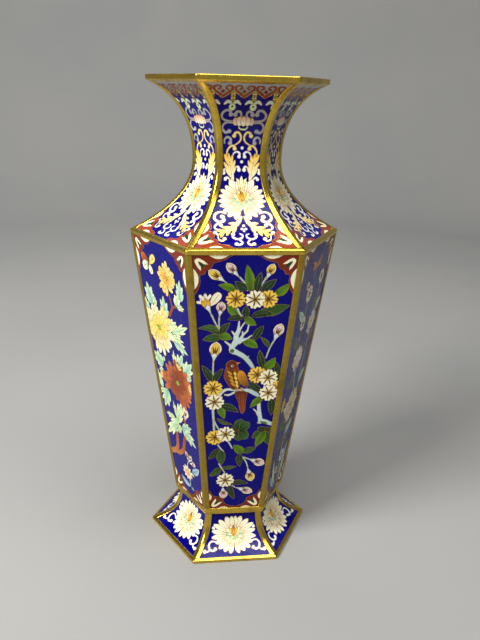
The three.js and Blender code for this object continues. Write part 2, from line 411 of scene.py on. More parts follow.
def arrange(drawing):
    """Splits a drawing into triangles that each lie in one cell, wire or patch of ground."""
    points, faces = cut_up(drawing)
    centres = points[faces].mean(1)
    owner = np.zeros(len(faces), int)
    for number, (outline, _) in enumerate(drawing.layers[1:], 1):
        owner[inside(centres, outline)] = number
    is_wire = np.array([paint is None for _, paint in drawing.layers])[owner]
    shades = np.tile(GILT, (len(faces), 3, 1))
    for number in np.unique(owner[~is_wire]):
        rows = np.nonzero(owner == number)[0]
        shades[rows] = drawing.layers[number][1](points[faces[rows]].ravel()).reshape(-1, 3, 3)
    used, faces = np.unique(faces, return_inverse=True)
    faces = faces.reshape(-1, 3)
    enamel_touches = np.bincount(faces[~is_wire].ravel(), minlength=len(used))
    pairs = triangle_edges(faces)
    keys = pairs[:, 0] * len(used) + pairs[:, 1]
    border = pairs[~np.isin(keys, pairs[:, 1] * len(used) + pairs[:, 0])]
    raised = enamel_touches == 0
    raised[border.ravel()] = False
    return {"points": points[used], "faces": faces, "shades": shades, "wire": is_wire,
            "border": border, "raised": raised, "rows": drawing.rows}


# ---------------------------------------------------------------- motifs

# One side of a petal or a calyx, as (share of its length, share of its half width).
HEART = ((0, 0), (0.3, 0.26), (0.58, 0.6), (0.78, 0.98), (0.94, 0.92), (0.99, 0.52), (0.8, 0), (0.8, 0))
EGG = ((0, 0), (0.12, 0.55), (0.45, 1), (0.8, 0.72), (1, 0))
CUP = ((0, 0.1), (0.3, 0.2), (0.6, 0.5), (1, 1), (1, 1), (0.74, 0.5), (0.74, 0.5), (0.95, 0), (0.95, 0))
PETAL = ((0, 0), (0.24, 0.4), (0.58, 0.84), (0.82, 0.8), (0.97, 0.34), (1, 0), (1, 0))
POINTED = ((0, 0), (0.2, 0.42), (0.55, 1), (0.8, 0.66), (1, 0), (1, 0))

# Each kind of leaf's colour at its core and at its edge.
LEAF_SHADES = {
    "light": (colour(36, 72, 20), colour(98, 148, 26)),
    "mid": (colour(24, 52, 28), colour(56, 98, 46)),
    "dark": (colour(14, 36, 22), colour(36, 72, 44)),
    "jade": (colour(84, 172, 156), colour(222, 240, 200)),
    "mint": (colour(138, 204, 148), colour(248, 250, 208)),
    "blue": (colour(70, 120, 170), colour(170, 206, 226)),
}


def each(draw, d, *rows):
    """Draws a motif once for each row of values, in order."""
    for row in rows:
        draw(d, *row)


def leaf_paint(base, tip, width, kind):
    """Darkest along the lower midrib, lighter towards the edges and the tip."""
    core, edge = LEAF_SHADES[kind]
    axis = tip - base

    def paint(z):
        spot = (z - base) / axis
        away = abs(spot.imag) * abs(axis) / (width / 2)
        return blend(core, edge, 0.75 * away ** 0.8 + 0.45 * spot.real)

    return paint


def leaf(d, base, tip, width, kind="mid", bend=0.0):
    """A pointed leaf with a wire along its midrib."""
    outline, rib = blade(base, tip, width, 0.7, 0.95, bend, 10)
    d.cell(outline, leaf_paint(base, tip, width, kind))
    d.wire(rib[2:-3], 0.2)


def stem(d, *points, width=1.0, shade=CELADON):
    """A smooth stalk through the points, a little thinner at its end."""
    d.cell(limb(points, width, width * 0.85), flat(shade))


def blossom(d, centre, radius, shade, petals=7, turn=0.3, heart=HONEY):
    """A round flower of two-lobed petals, with stamens of wire."""
    width = 1.8 * radius * math.sin(math.pi / petals)
    ways = [np.exp(1j * (turn + math.tau * i / petals)) for i in range(petals)]
    d.cell(ring(centre, 0.5 * radius, steps=14), flat(BRONZE), 0.17)
    for way in ways:
        petal = lobe(centre + 0.08 * radius * way, centre + radius * way, width, HEART)
        d.cell(petal, round_from(centre, radius * 0.5, heart, shade, 1.4), 0.2)
    for way in ways:
        d.wire([centre + 0.12 * radius * way, centre + 0.5 * radius * way], 0.15)
    d.cell(ring(centre, 0.17 * radius, steps=8), flat(BRONZE * 0.6), 0.2)


def bud(d, tip, foot, width, shade, calyx=CELADON):
    """A closed flower: a petal inside a cream rim, with dark strokes over a pointed calyx."""
    axis = tip - foot
    side = 1j * axis / abs(axis) * width
    throat = foot + axis * 0.3
    d.cell(lobe(throat, tip, width * 1.05, EGG), flat(CREAM))
    inner = lobe(throat + axis * 0.03, tip - axis * 0.06, width * 0.76, EGG)
    d.cell(inner, along(throat, tip, shade * 0.8, shade), 0.2)
    for sway in (-0.24, 0, 0.24):
        stroke, _ = blade(throat, throat + axis * 0.46 + side * sway, width * 0.13, 0.6, 0.8)
        d.cell(stroke, flat(BRONZE * 0.6), 0.1)
    d.cell(lobe(foot, foot + axis * 0.5, width * 0.84, CUP), along(foot, foot + axis * 0.6, calyx, WHITE))


def drop(d, start, end, bulge):
    """A cream half-drop that lies along a panel's edge."""
    d.cell(np.r_[arc(start, end, bulge, 10), end], flat(CREAM))


def arrowhead(d, apex, left, right):
    """Two cream petals that point into the corner, with a green tongue between them."""
    middle = (left + right) / 2
    width = abs(left - right) * 0.46
    d.cells([blade(apex, arm, width, 0.35, 0.8)[0] for arm in (left, right)], flat(CREAM))
    tongue, _ = blade(middle, apex + (middle - apex) * 0.28, width * 0.8, 0.5, 0.8)
    d.cell(tongue, flat(GREEN_DARK), 0.2)


def body_top_corner(d):
    """The broad scalloped bracket in a body panel's upper left corner."""
    top, side = d.high, -d.edge(170)
    scallops = [
        smooth([-6 + 1j * (top + 0.4), -9 + 1j * (top - 1), -12 + 184.6j, -17.5 + 183j]),
        smooth([-18 + 182.2j, -19 + 180j, -21.5 + 178.6j]),
        smooth([-22 + 177.8j, -22.6 + 176.4j, -25 + 176j]),
        smooth([-25 + 175j, -24.8 + 171j, -26 + 167j, side + 163j - 0.4]),
    ]
    corner = -d.edge(top) - 0.4 + 1j * (top + 0.4)
    # Painted shade: the body's brackets are MAROON, a darker copy of the neck brackets' BRICK.
    d.cell(np.r_[tuple(scallops)][::-1].tolist() + [corner], flat(MAROON))
    each(drop, d, (-d.edge(167) + 167j, -d.edge(180) + 180j, 0.21),
         (-20.5 + 1j * top, -9 + 1j * top, 0.2))
    arrowhead(d, -27.4 + 185.3j, -20.6 + 182.2j, -24.4 + 178.4j)


def body_low_corner(d):
    """The narrow scalloped bracket in a body panel's lower left corner."""
    low, side = d.low, -d.edge(21)
    scallops = [
        smooth([side - 0.4 + 21j, -16 + 19j, -14.5 + 16j, -12.8 + 15.3j]),
        smooth([-12.6 + 15.2j, -10.5 + 14.8j, -8 + 13j, -7.5 + 10.5j]),
        smooth([-7.4 + 10.4j, -5.5 + 8j, -0.5 + 6j, 1j * (low - 0.4)]),
    ]
    corner = -d.edge(low) - 0.4 + 1j * (low - 0.4)
    # Painted shade: the body's brackets are MAROON, a darker copy of the neck brackets' BRICK.
    d.cell(np.r_[tuple(scallops)].tolist() + [corner], flat(MAROON))
    each(drop, d, (-d.edge(11.5) + 11.5j, -d.edge(18.5) + 18.5j, 0.25),
         (-4 + 1j * low, -11 + 1j * low, 0.2))
    arrowhead(d, -14.9 + 6.4j, -8.4 + 10.4j, -12.7 + 13.6j)


def body_corners(d):
    d.pair(body_top_corner)
    d.pair(body_low_corner)


def bird(d):
    """A plump songbird on the bough, seen from the side, with its tail hanging down."""
    tail = smooth([
        -2.8 + 98.5j, 4.1 + 98.5j, 3.9 + 91j, 3.6 + 85j, 2.1 + 82.4j, 0.6 + 85j, -0.6 + 91j,
    ], True)
    d.cell(tail, along(0.8 + 99j, 2 + 83j, BROWN, RUST))
    for x in (0.2, 1.6, 3.0):
        d.wire([x * 0.9 - 0.4 + 97j, x * 0.7 + 0.6 + 85.5j], 0.22)
    body = smooth([
        -5.5 + 121.2j, -3 + 119.8j, -1.9 + 117j, -0.6 + 112j, 0.2 + 106j, -1 + 101j, -4.5 + 100.6j,
        -7.2 + 104j, -9.7 + 109j, -9.8 + 112.5j, -8.8 + 116j, -8.4 + 119.3j,
    ], True)
    d.cell(body, along(-9 + 116j, -1 + 104j, RUST, BROWN))
    breast, _ = blade(-7 + 115.4j, -1.6 + 101.8j, 6.4, 0.6, 0.7)
    d.cell(breast, flat(BRONZE * 0.6), 0.2)
    head = smooth([
        -5.4 + 121.2j, -2.9 + 119.6j, -2.3 + 116.4j, -4.6 + 114.4j, -8 + 115.5j, -8.6 + 118.7j,
    ], True)
    d.cell(head, along(-7 + 121j, -3 + 115j, BROWN, MAROON))
    d.cell([-2.9 + 119.6j, -0.2 + 119.5j, -2.4 + 118.1j], flat(AMBER), 0.24)
    for x, s in ((-6.9, 113), (-6.2, 110.2), (-5.4, 107.4), (-4.6, 104.8)):
        feather, _ = blade(complex(x - 1.1, s + 0.9), complex(x + 1.9, s - 2.2), 1.5, 0.7, 0.7)
        d.cell(feather, flat(AMBER), 0.26)
    for x, s in ((-3.9, 112), (-3.4, 109), (-2.8, 106), (-2.4, 103.4)):
        feather, _ = blade(complex(x, s + 1.2), complex(x + 1.2, s - 1.9), 1.7, 0.7, 0.7)
        d.cell(feather, flat(YELLOW), 0.26)
    wing, _ = blade(-0.6 + 114j, 4.6 + 101.6j, 5.6, 0.55, 0.8, -0.5)
    d.cell(wing, along(0 + 113j, 4.6 + 102j, AMBER, BROWN))
    for line in ((0.2 + 111.6j, 3.8 + 103.2j), (1.6 + 112j, 4.5 + 105j), (-0.4 + 109.5j, 2.7 + 102.9j)):
        d.wire(line, 0.24)
    d.cell(ring(-5.1 + 117.2j, 0.85, steps=10), flat(WHITE), 0.3)
    d.cell(ring(-5.0 + 117.2j, 0.42, steps=8), flat(GREEN_DARK), 0.16)


def bird_toes(d):
    """The bird's toes round the bough."""
    for x in (-2.6, -1.4, 0.6, 1.8):
        d.cell(limb([x + 101.6j, x + 0.3 + 100.2j, x + 0.1 + 98.9j], 0.5, 0.6, 0.3), flat(AMBER), 0.2)


def old_bough(d):
    """The pale forked trunk above the bird, and the bough that it sits on."""
    trunk = [
        limb([-2.2 + 147j, -2.5 + 142j, -3.6 + 137j, -3.2 + 133.5j], 0.9, 1.6, 3.2, 4),
        limb([1.1 + 146.4j, -1.2 + 142.5j, -2.6 + 139j], 0.8, 1.2, 2),
        limb([-6.2 + 140.6j, -4.6 + 138.6j, -3.4 + 136.5j], 0.8, 1.6, 2.4),
        limb([3.5 + 144.8j, 2.7 + 140.8j, 0.3 + 138j, -1.6 + 133.6j], 0.8, 1.2, 1.4, 3),
        limb([0 + 140.4j, 0.2 + 138.6j], 0.8, 1.2),
        limb([5.4 + 137.6j, 2.6 + 135.6j, -0.6 + 134.6j], 0.9, 1.3, 2.6),
        limb([-10 + 134j, -7.4 + 131.8j, -5.6 + 130.6j, -3.6 + 133.6j], 0.9, 1.6, 3, 4),
        limb([-5.8 + 130.6j, -5.4 + 127.8j, -2.5 + 126.2j, 1.4 + 123.6j, 4.6 + 120j, 7.4 + 115.6j],
             3, 4.2, 3.2, 3, 2.8, 2.2),
        limb([3.2 + 122.5j, 4.2 + 123.6j], 1.2, 0.8),
    ]
    d.cells(trunk, along(-6 + 140j, 5 + 117j, PALE_CELADON, CELADON))
    d.cell(ring(-5.6 + 127.6j, 1.25, steps=10), flat(GREEN), 0.24)
    bough = [
        limb([-12.6 + 95.8j, -11 + 98.6j, -8 + 100.6j, -3.6 + 100.2j], 2, 2.2, 1.8, 1.6),
        limb([-9 + 96.8j, -6.5 + 96.6j, -3.4 + 98.2j, -1 + 98.9j], 1, 1.5, 1.4, 1.6),
        limb([-4 + 100.2j, 0 + 99.4j, 5 + 99.6j, 9 + 97.4j, 11.2 + 95.8j], 1.6, 2.6, 2.6, 3, 2.4),
        limb([-3.5 + 100.4j, -3 + 102.4j], 1.4, 0.7),
        limb([1.6 + 100.4j, 0.6 + 101.8j], 1.2, 0.7),
    ]
    d.cells(bough, along(-12 + 96j, 11 + 96j, PALE_CELADON, CELADON))
    low = [
        limb([12.2 + 90j, 12.6 + 85j, 13.4 + 80j, 14 + 75.6j], 2.2, 2.4, 2.6, 3),
        limb([9.2 + 85.6j, 11 + 83.6j, 12.8 + 80.6j], 0.8, 1.2, 2.2),
        limb([14.4 + 76.6j, 17.4 + 75.6j, 21.6 + 73.6j, 23 + 72.8j], 3.4, 3.2, 2.6, 2.2),
        limb([12.4 + 74.9j, 13.6 + 75.2j], 1, 1.4),
    ]
    d.cells(low, along(12 + 90j, 22 + 72j, PALE_CELADON, CELADON))
    d.cell(limb([14.4 + 75.6j, 16.4 + 74.9j, 18 + 74.6j], 1, 1.6, 0.8), flat(GREEN), 0.24)


def lily(d):
    """A half-open white flower with a yellow throat."""
    for tip, width in ((-25.8 + 161j, 4.2), (-23.6 + 164.6j, 4.6), (-20.4 + 164.6j, 4.2)):
        d.cell(lobe(-21.2 + 156.6j, tip, width, HEART), along(-21.5 + 158j, tip, PALE_YELLOW, WHITE))
    big, rib = blade(-19 + 157j, -13.6 + 165.2j, 5, 0.7, 0.4)
    d.cell(big, flat(CREAM))
    d.wire(rib[2:-2], 0.22)
    for tip in (-24 + 160.4j, -21.8 + 161.9j, -19.8 + 160.8j):
        d.cell(lobe(-20.6 + 155.4j, tip, 2.4, EGG), along(-21 + 156j, tip, YELLOW, AMBER), 0.26)
    d.cell(lobe(-18.2 + 151.4j, -21.2 + 158.2j, 4.8, CUP), along(-18.5 + 152j, -21 + 158j, CELADON, WHITE))


def three_leaf(d):
    """A dark leaf of broad lobes."""
    base = 0.4 + 69.5j
    lobes = ((-3.4 + 73.6j, 4.4), (1.6 + 78.2j, 7.2), (6.9 + 75.4j, 6.6), (6 + 63j, 7), (0.8 + 61.6j, 6.4))
    outlines = [blade(base, tip, width, 0.6, 0.6)[0] for tip, width in lobes]
    d.cells(outlines, round_from(base, 9, LEAF_SHADES["dark"][0], LEAF_SHADES["mid"][1]))
    for tip, _ in lobes:
        d.wire([base, base + (tip - base) * 0.7], 0.2)


def body_drawing(title):
    low, high = WAIST_BAND + JOINT, body_wall.length - SHOULDER_FLANGE - JOINT
    d = Drawing(body_wall, low, high, flat(COBALT))
    d.title = title
    return d


def top_spray(d):
    """Three blossoms, three buds and their leaves at the top of the panel."""
    each(stem, d, (-3 + 174.6j, 0.4 + 170.4j, 1.6 + 166.5j), (12 + 174.6j, 9.6 + 170j, 7 + 166.5j),
         (-10.4 + 171.3j, -7.4 + 168.4j, -3 + 166j))
    each(bud, d, (-20.4 + 178.8j, -10.2 + 171.3j, 5.6, YELLOW), (-10.4 + 183j, -3 + 174.2j, 5, PINK),
         (15.8 + 182.6j, 11.8 + 172.6j, 5, YELLOW))
    each(leaf, d, (2 + 167j, -5.4 + 172j, 5, "dark", 0.5),
         (-4.6 + 166j, -14.6 + 169.9j, 4.6, "light", -0.8),
         (3.6 + 165.5j, 0.8 + 182j, 5.4, "light", -0.5), (6.8 + 165j, 9 + 177.6j, 4.4, "dark", 0.4),
         (10 + 165.6j, 17.8 + 173j, 5, "dark", 0.4), (16.8 + 163.4j, 25.4 + 170.6j, 5.2, "light", -1.0),
         (3 + 157.5j, -5 + 167j, 4.4, "dark"), (-2 + 150.5j, -9.4 + 158j, 4.8, "light", 0.8),
         (9 + 152.4j, 26.4 + 157j, 7, "mid", -0.6), (5 + 150.6j, 17.4 + 151.6j, 4.6, "dark", 0.9),
         (1.4 + 149.8j, 1.4 + 156.8j, 4.4, "dark"), (1.2 + 150j, 7.8 + 144.4j, 5, "light", -0.6),
         (0.4 + 149.6j, -9 + 148.4j, 3.8, "dark", -0.6))
    stem(d, -3.4 + 155j, -2.4 + 152.4j, -1 + 150.6j, width=1.3)
    each(blossom, d, (-4.7 + 161.2j, 5.6, YELLOW, 8), (13.8 + 161j, 5.6, YELLOW, 8, 0.2),
         (6.4 + 160.8j, 5.7, CREAM, 7, 0.5, PALE_YELLOW))


def left_sprays(d):
    """The half-open flower and the buds that rise on the left."""
    each(stem, d, (-18.4 + 152j, -16 + 146.5j, -13.4 + 141.8j),
         (-13.7 + 151j, -13.8 + 146j, -13.4 + 141j))
    lily(d)
    bud(d, -12.4 + 159.8j, -13.7 + 149.6j, 5.2, PINK)
    each(leaf, d, (-13 + 138.6j, -25.6 + 142.8j, 4.4, "mid", -2.4),
         (-12.4 + 137j, -23 + 135.4j, 5, "mid", -0.3), (-13 + 138.6j, -7.6 + 146.2j, 4.2, "dark", 0.6),
         (-13.4 + 137.4j, -6 + 135.6j, 5.4, "light", 0.7))
    stem(d, -16.5 + 121j, -16.6 + 115j, -16.4 + 107j)
    bud(d, -14.8 + 134j, -16.6 + 119.6j, 7, YELLOW)


def perch(d):
    """The old bough with the bird on it, among leaves and blossoms."""
    each(leaf, d, (-17 + 106j, -23.2 + 118j, 4.4, "dark", -0.6),
         (-16.2 + 106j, -10.8 + 115.4j, 4.2, "dark", 0.5),
         (0.4 + 134.6j, 9.6 + 129.2j, 5.4, "light", 0.6), (7 + 134.8j, 12.2 + 144j, 4.6, "dark", 0.5))
    old_bough(d)
    stem(d, 18.8 + 134j, 16.6 + 129j, 14.8 + 122.4j)
    leaf(d, 16.4 + 129.4j, 10.8 + 136.6j, 2.8, "mid", -0.5)
    bud(d, 22.6 + 145.4j, 18.6 + 132.8j, 6, PINK)
    each(leaf, d, (23.2 + 106j, 20.4 + 120j, 4.4, "dark", -0.6),
         (13.6 + 115j, 10.8 + 127.6j, 4.4, "dark", 0.4), (14 + 114.6j, 20.4 + 122.4j, 5.4, "light", -0.9),
         (13 + 99j, 5 + 105.6j, 4.6, "dark", 0.4))
    bird(d)
    bird_toes(d)
    each(blossom, d, (10.3 + 110.5j, 5.8, YELLOW, 8), (23.4 + 101.4j, 4.6, YELLOW, 7),
         (17 + 108.4j, 5.8, CREAM, 7, 0.1, PALE_YELLOW))
    each(leaf, d, (15 + 94.6j, 6.8 + 86.8j, 4.6, "light", -0.5),
         (19.8 + 93.6j, 20.4 + 80.6j, 4.8, "dark", 0.4))
    blossom(d, 17.8 + 97.4j, 5.8, CREAM, 7, 0.6, PALE_YELLOW)


def lower_left_branch(d):
    """The branch under the bird, with its pairs of blossoms and the lobed leaf."""
    stem(d, -16.2 + 87j, -15.6 + 79j, -15 + 69.5j, width=1.6)
    stem(d, -15.5 + 78j, -13.4 + 73.4j, -11.3 + 69.4j, width=1.1)
    each(leaf, d, (-13 + 88.6j, -0.2 + 83.6j, 5, "dark", 1.4),
         (-12.8 + 88j, -9 + 78.8j, 4.6, "light", 0.5), (-13.4 + 79.2j, -3.8 + 74.4j, 2.6, "mid", -1.0))
    each(blossom, d, (-16.3 + 101.4j, 5.8, YELLOW, 8, 0.1),
         (-15.2 + 91.6j, 5.8, CREAM, 7, 0.4, PALE_YELLOW))
    three_leaf(d)
    blossom(d, -14.4 + 64.6j, 5.7, YELLOW, 8)


def branch_end(d):
    """The cream blossom and the stems at the branch's end, and the fan of leaves on the right."""
    stem(d, -6.6 + 62.4j, -5 + 59.4j, -3.2 + 55.6j, width=1.2)
    blossom(d, -7.6 + 66.8j, 5.8, CREAM, 7, 0.15, PALE_YELLOW)
    for tip, width, kind in (
        (9.2 + 63.4j, 6.6, "mid"), (12.6 + 71.4j, 5, "dark"), (20.8 + 71j, 4.6, "dark"),
        (20.6 + 57.4j, 6, "mid"), (11.8 + 56j, 5.6, "light"),
    ):
        leaf(d, 17.2 + 68.2j, tip, width, kind)
    stem(d, -12.4 + 58.6j, -10.4 + 55.4j, -8.6 + 53.2j)


def bottom_spray(d):
    """The drooping buds and the last blossom above the lower border."""
    each(leaf, d, (-11.8 + 55.4j, -18.2 + 47.4j, 4.4, "dark", 0.5),
         (-10 + 54j, -9.6 + 42.4j, 5.8, "mid", -0.4), (3.4 + 52.6j, 12.2 + 55.8j, 4.6, "mid", -0.6),
         (2 + 50.6j, 2.2 + 40.6j, 4.4, "dark", -0.4), (3.4 + 50.6j, -2.2 + 58j, 5.8, "light", -0.5))
    each(stem, d, (4 + 48.2j, 8 + 46.4j, 11.4 + 45.4j), (4.2 + 47.8j, 6.4 + 43.6j, 7.6 + 39.4j))
    each(bud, d, (18.6 + 41.6j, 7.2 + 46.6j, 6, PINK), (10.6 + 27.4j, 7.4 + 39.6j, 6, YELLOW))
    stem(d, -11.4 + 43.2j, -9.4 + 39.4j, -7.4 + 35.6j)
    each(leaf, d, (-9.4 + 40j, 0.2 + 40.6j, 2.8, "mid", -0.6),
         (-10.2 + 39.8j, -17.2 + 33.2j, 4.8, "mid", 0.5), (-2.6 + 26.8j, 8.4 + 25.8j, 4, "dark", 0.6),
         (-4.4 + 25j, -0.4 + 12.4j, 4.2, "dark", -0.4))
    stem(d, -2.2 + 24.6j, 0 + 22.6j, 2 + 21.6j, width=0.8)
    each(bud, d, (11.8 + 17.8j, -0.2 + 22.8j, 5.6, PINK), (-7.4 + 13.4j, -8.4 + 24.4j, 5.4, PINK))
    blossom(d, -6.9 + 29.2j, 5.8, CREAM, 7, 0.25, PALE_YELLOW)


def bird_panel():
    """Cherry blossom with a bird on the bough, the drawing of the front panel."""
    d = body_drawing("bird")
    body_corners(d)
    top_spray(d)
    left_sprays(d)
    perch(d)
    lower_left_branch(d)
    branch_end(d)
    bottom_spray(d)
    return d


def scroll(d, *points, shade=WHITE, width=1.25, bead=1.2):
    """A curling line that swells into a bead at its first point."""
    path = smooth(points)
    d.cells([limb(points, width * 1.25, width, width * 0.7), ring(points[0], bead, steps=10)],
            along(path[0], path[-1], shade, shade * 0.92))


def beads(d, spots, radius, shade):
    for spot in spots:
        d.cell(ring(spot, radius, steps=8), flat(shade), 0.2)


def lotus(d, centre, size, petals):
    """An open lotus: long petals round a yellow cup with a flame and pale seeds."""
    for degrees, reach, width in petals:
        way = np.exp(1j * math.radians(degrees))
        tip = centre + way * reach * size
        base = centre + way * 1.2
        paint = round_from(centre, 9.5 * size, PEACH, CREAM, 1.5)
        d.cell(lobe(base, tip, width * size, PETAL), paint, 0.24)
        d.wire([base + (tip - base) * 0.35, base + (tip - base) * 0.74], 0.16)
    for degrees in range(20, 380, 30):
        way = np.exp(1j * math.radians(degrees))
        tip = centre + way * 6.8 * size
        d.cell(lobe(centre, tip, 2.6 * size, POINTED), along(centre, tip, PALE_YELLOW, CREAM), 0.22)
    flame = lobe(centre + 0.2j * size, centre + 6.4j * size, 2.6 * size, POINTED)
    for side in (-1, 1):
        petal, _ = blade(centre, centre + (side * 3.1 + 4.8j) * size, 2.1 * size, 0.7, 0.8, side * 0.5)
        d.cell(petal, along(centre, centre + 4j * size, AMBER, YELLOW), 0.24)
    d.cell(flame, along(centre, centre + 6j * size, YELLOW, RUST), 0.24)
    spots = ((-4.4, 0.8), (-2.5, -0.9), (0, -2.2), (2.5, -0.9), (4.4, 0.8))
    beads(d, [centre + complex(x, y) * size for x, y in spots], 1.0 * size, JADE)


def spreading_leaf(d):
    """A jagged yellow leaf that sweeps down and out from under the lotus."""
    spine = smooth([1 + 25j, 2.8 + 21.4j, 6.4 + 17.6j, 10.6 + 15j, 14.6 + 12.4j])
    parts = [ribbon(spine, 1.4, 2.6, 3, 2.4, 0.8)]
    for base, tip, width in (
        (3.6 + 20.6j, 8.6 + 20.6j, 1.9), (6.6 + 17.6j, 12.6 + 17.8j, 2.1), (10 + 15.4j, 15.6 + 15.4j, 1.9),
        (4.4 + 19j, 6.4 + 13j, 2.2), (8 + 16.4j, 10 + 11.8j, 2.2), (11.4 + 14.4j, 13.4 + 10.6j, 1.8),
    ):
        parts.append(blade(base, tip, width, 0.5, 0.7)[0])
    d.cells(parts, along(1 + 25j, 15 + 12j, CREAM, YELLOW * 1.05))
    d.wire(spine[1:-3], 0.18)
    scroll(d, 11.2 + 9.6j, 12.2 + 8.2j, 14.2 + 8.8j, 14.7 + 11j, shade=CREAM, width=1.1)


def upright_leaf(d):
    """A feathered yellow leaf that stands on the lotus."""
    parts = [limb([5 + 45.4j, 5.2 + 49j, 6 + 53j, 7.4 + 57j], 1.5, 2, 2, 1.4)]
    for base, tip, width in (
        (5.5 + 49.6j, 3.3 + 54.8j, 1.7), (5.9 + 51.8j, 3.7 + 58.2j, 1.9), (6.3 + 54j, 5.3 + 61j, 1.9),
        (5.4 + 48.4j, 9.2 + 53.6j, 1.8), (5.8 + 50.8j, 10.2 + 57j, 2.0), (6.8 + 55j, 9.9 + 61.4j, 2.2),
        (6.6 + 55j, 7.6 + 62j, 1.7),
    ):
        parts.append(blade(base, tip, width, 0.6, 0.55)[0])
    d.cells(parts, along(5 + 46j, 7 + 61j, CREAM, YELLOW * 1.05))
    d.wire([5.2 + 46.5j, 5.7 + 51j, 7 + 57.5j], 0.16)


def neck_scrolls(d):
    """The beaded scrolls on one half of the neck."""
    each(scroll, d, (6.3 + 12.9j, 6.4 + 10.8j, 4.2 + 9.4j, 1.6 + 10.3j, 1.1 + 12.3j, 2.4 + 13.2j),
         (4.8 + 5.8j, 3 + 5.2j, 1.5 + 6.6j, 2.4 + 8.2j, 3.7 + 9.6j),
         (12.7 + 19.3j, 14.4 + 20.3j, 16.2 + 18.4j, 15.6 + 16.5j, 13.2 + 16.2j))
    scroll(d, 16.2 + 14.2j, 15.2 + 13j, 14.6 + 11.6j, bead=1.1)
    scroll(d, 11.6 + 25j, 10.8 + 22.6j, 13.4 + 21.5j, 16 + 23.6j, 15.4 + 26.8j, 12.4 + 28.2j, 9.6 + 27.2j,
           width=1.6, bead=1.4)
    scroll(d, 9.2 + 47.6j, 8.4 + 48.6j, 7 + 47.8j, 6.2 + 46.2j, bead=1.0)
    each(scroll, d, (10.2 + 51.2j, 10 + 52.8j, 8.2 + 53j, 6.8 + 51j),
         (1.5 + 52.8j, 1.8 + 54.4j, 3.2 + 54.2j, 4.3 + 51.4j))
    scroll(d, 1.6 + 60j, 1.3 + 61.8j, 2.9 + 62.7j, 4.6 + 61.8j, 5.2 + 60.2j, width=1.15, bead=1.1)
    scroll(d, 4.7 + 71.4j, 4.1 + 73j, 2.2 + 73.2j, 0.9 + 70.8j, 1.6 + 68.2j, 4.4 + 66.2j, shade=PALE_YELLOW)
    scroll(d, 4.2 + 64.4j, 4.6 + 65.8j, 6.4 + 65.7j, 8.2 + 63.4j, 8.6 + 60.2j, shade=PALE_YELLOW)
    scroll(d, 6.9 + 67.4j, 6.6 + 69.4j, 8.4 + 70.7j, 10 + 69.3j, 9.9 + 67.4j, shade=GREY)
    scroll(d, 7.2 + 83.4j, 7.8 + 85.6j, 10.2 + 85.6j, 12.2 + 83j, 10.8 + 80.2j, 6.4 + 79.5j, shade=GREY)
    scroll(d, 7.6 + 73.9j, 9.8 + 73.2j, 11.6 + 75.8j, 9.8 + 78.6j, 6.2 + 78.6j, shade=GREY)
    scroll(d, 4.7 + 83.2j, 4 + 85j, 2.2 + 85j, 1.4 + 83j, 2.2 + 81.6j, shade=GREY, width=1.15)


def lotus_bud(d, centre):
    """A closed lotus of five rounded petals over a small pale base."""
    base = [centre + offset for offset in (-2.4 - 3j, -1.4 - 4.2j, 1.4 - 4.2j, 2.4 - 3j)]
    d.cell(limb(base, 0.8, 1, 0.8), flat(MINT), 0.24)
    for side in (-1, 1):
        d.cell(ring(centre + side * 4.3, 2.8 / 1.7, 2.2), along(centre + 2j, centre - 2j, PEACH, PINK))
    for side in (-1, 1):
        d.cell(ring(centre + side * 2.2 + 0.2j, 1.7, 2.7), along(centre + 3j, centre - 2j, PEACH, CREAM))
    d.cell(ring(centre + 0.2j, 1.5, 2.9), along(centre + 3j, centre - 2j, PEACH, CREAM))


def pendant(d, spot):
    """A tassel of beads that ends in a pearl between two pale wings."""
    for side in (-1, 1):
        wing = [spot + side * 0.6 + 1.9j, spot + side * 2.4 + 3j, spot + side * 4.2 + 1.5j]
        # Painted shade: the wings fade to a dimmed white, WHITE * 0.9, for the shade under the lip.
        d.cell(limb(wing, 1.3, 2.4, 1.1), along(spot, spot + 4 * side, MINT, WHITE * 0.9), 0.24)
    d.cell(ring(spot - 0.4j, 1.9, 2.2), round_from(spot, 2, CREAM, MINT))
    d.cell(ring(spot, 0.65, steps=8), flat(GREEN), 0.2)
    for row in range(5):
        for side in (-1, 1):
            bead = spot + 3.9j + 1.45j * row + side * 0.62
            d.cell(ring(bead, 0.66, steps=8), flat(YELLOW if row % 2 else GREEN_LIGHT), 0.2)


def ruyi_band(d, foot, pitch, shift):
    """A collar of brick-red cloud heads on grey, with a small brown drop at the middle of each; the beaded
    tassels between them are drawn by pendant.
    """
    top = d.high + 0.6
    middles = [shift + pitch * k for k in range(-3, 4)]
    half = pitch / 2
    scallop = ((-half, 4.8), (-1.6, 1), (0, 0), (0, 0), (1.6, 1), (half, 4.8))
    zigzag = []
    for x in middles:
        zigzag += smooth([x + a + 1j * (foot + b) for a, b in scallop]).tolist()
    ground = zigzag + [middles[-1] + pitch + 1j * top, middles[0] - pitch + 1j * top]
    # Painted shade: this collar's grey ground and brick clouds are painted in darker colours, which stand
    # for the shade under the lip.
    d.cell(ground, along(1j * foot, 1j * top, SHADED_STEEL, GREY))
    for x in middles:
        for side in (-1, 1):
            cloud = [x + 1j * (foot + 1.1)]
            cloud += [x + side * a + 1j * (foot + b) for a, b in
                      ((2.4, 3.4), (4.7, 6), (4.5, 8.7), (2.3, 9), (1.4, 7.2), (2.5, 6.2))]
            d.cell(limb(cloud, 1.8, 1.5, 1.5, 1.2, 1.4), flat(BRICK))
        d.cell(lobe(x + 1j * (foot + 3.2), x + 1j * (foot + 6), 2, EGG), flat(BROWN), 0.24)


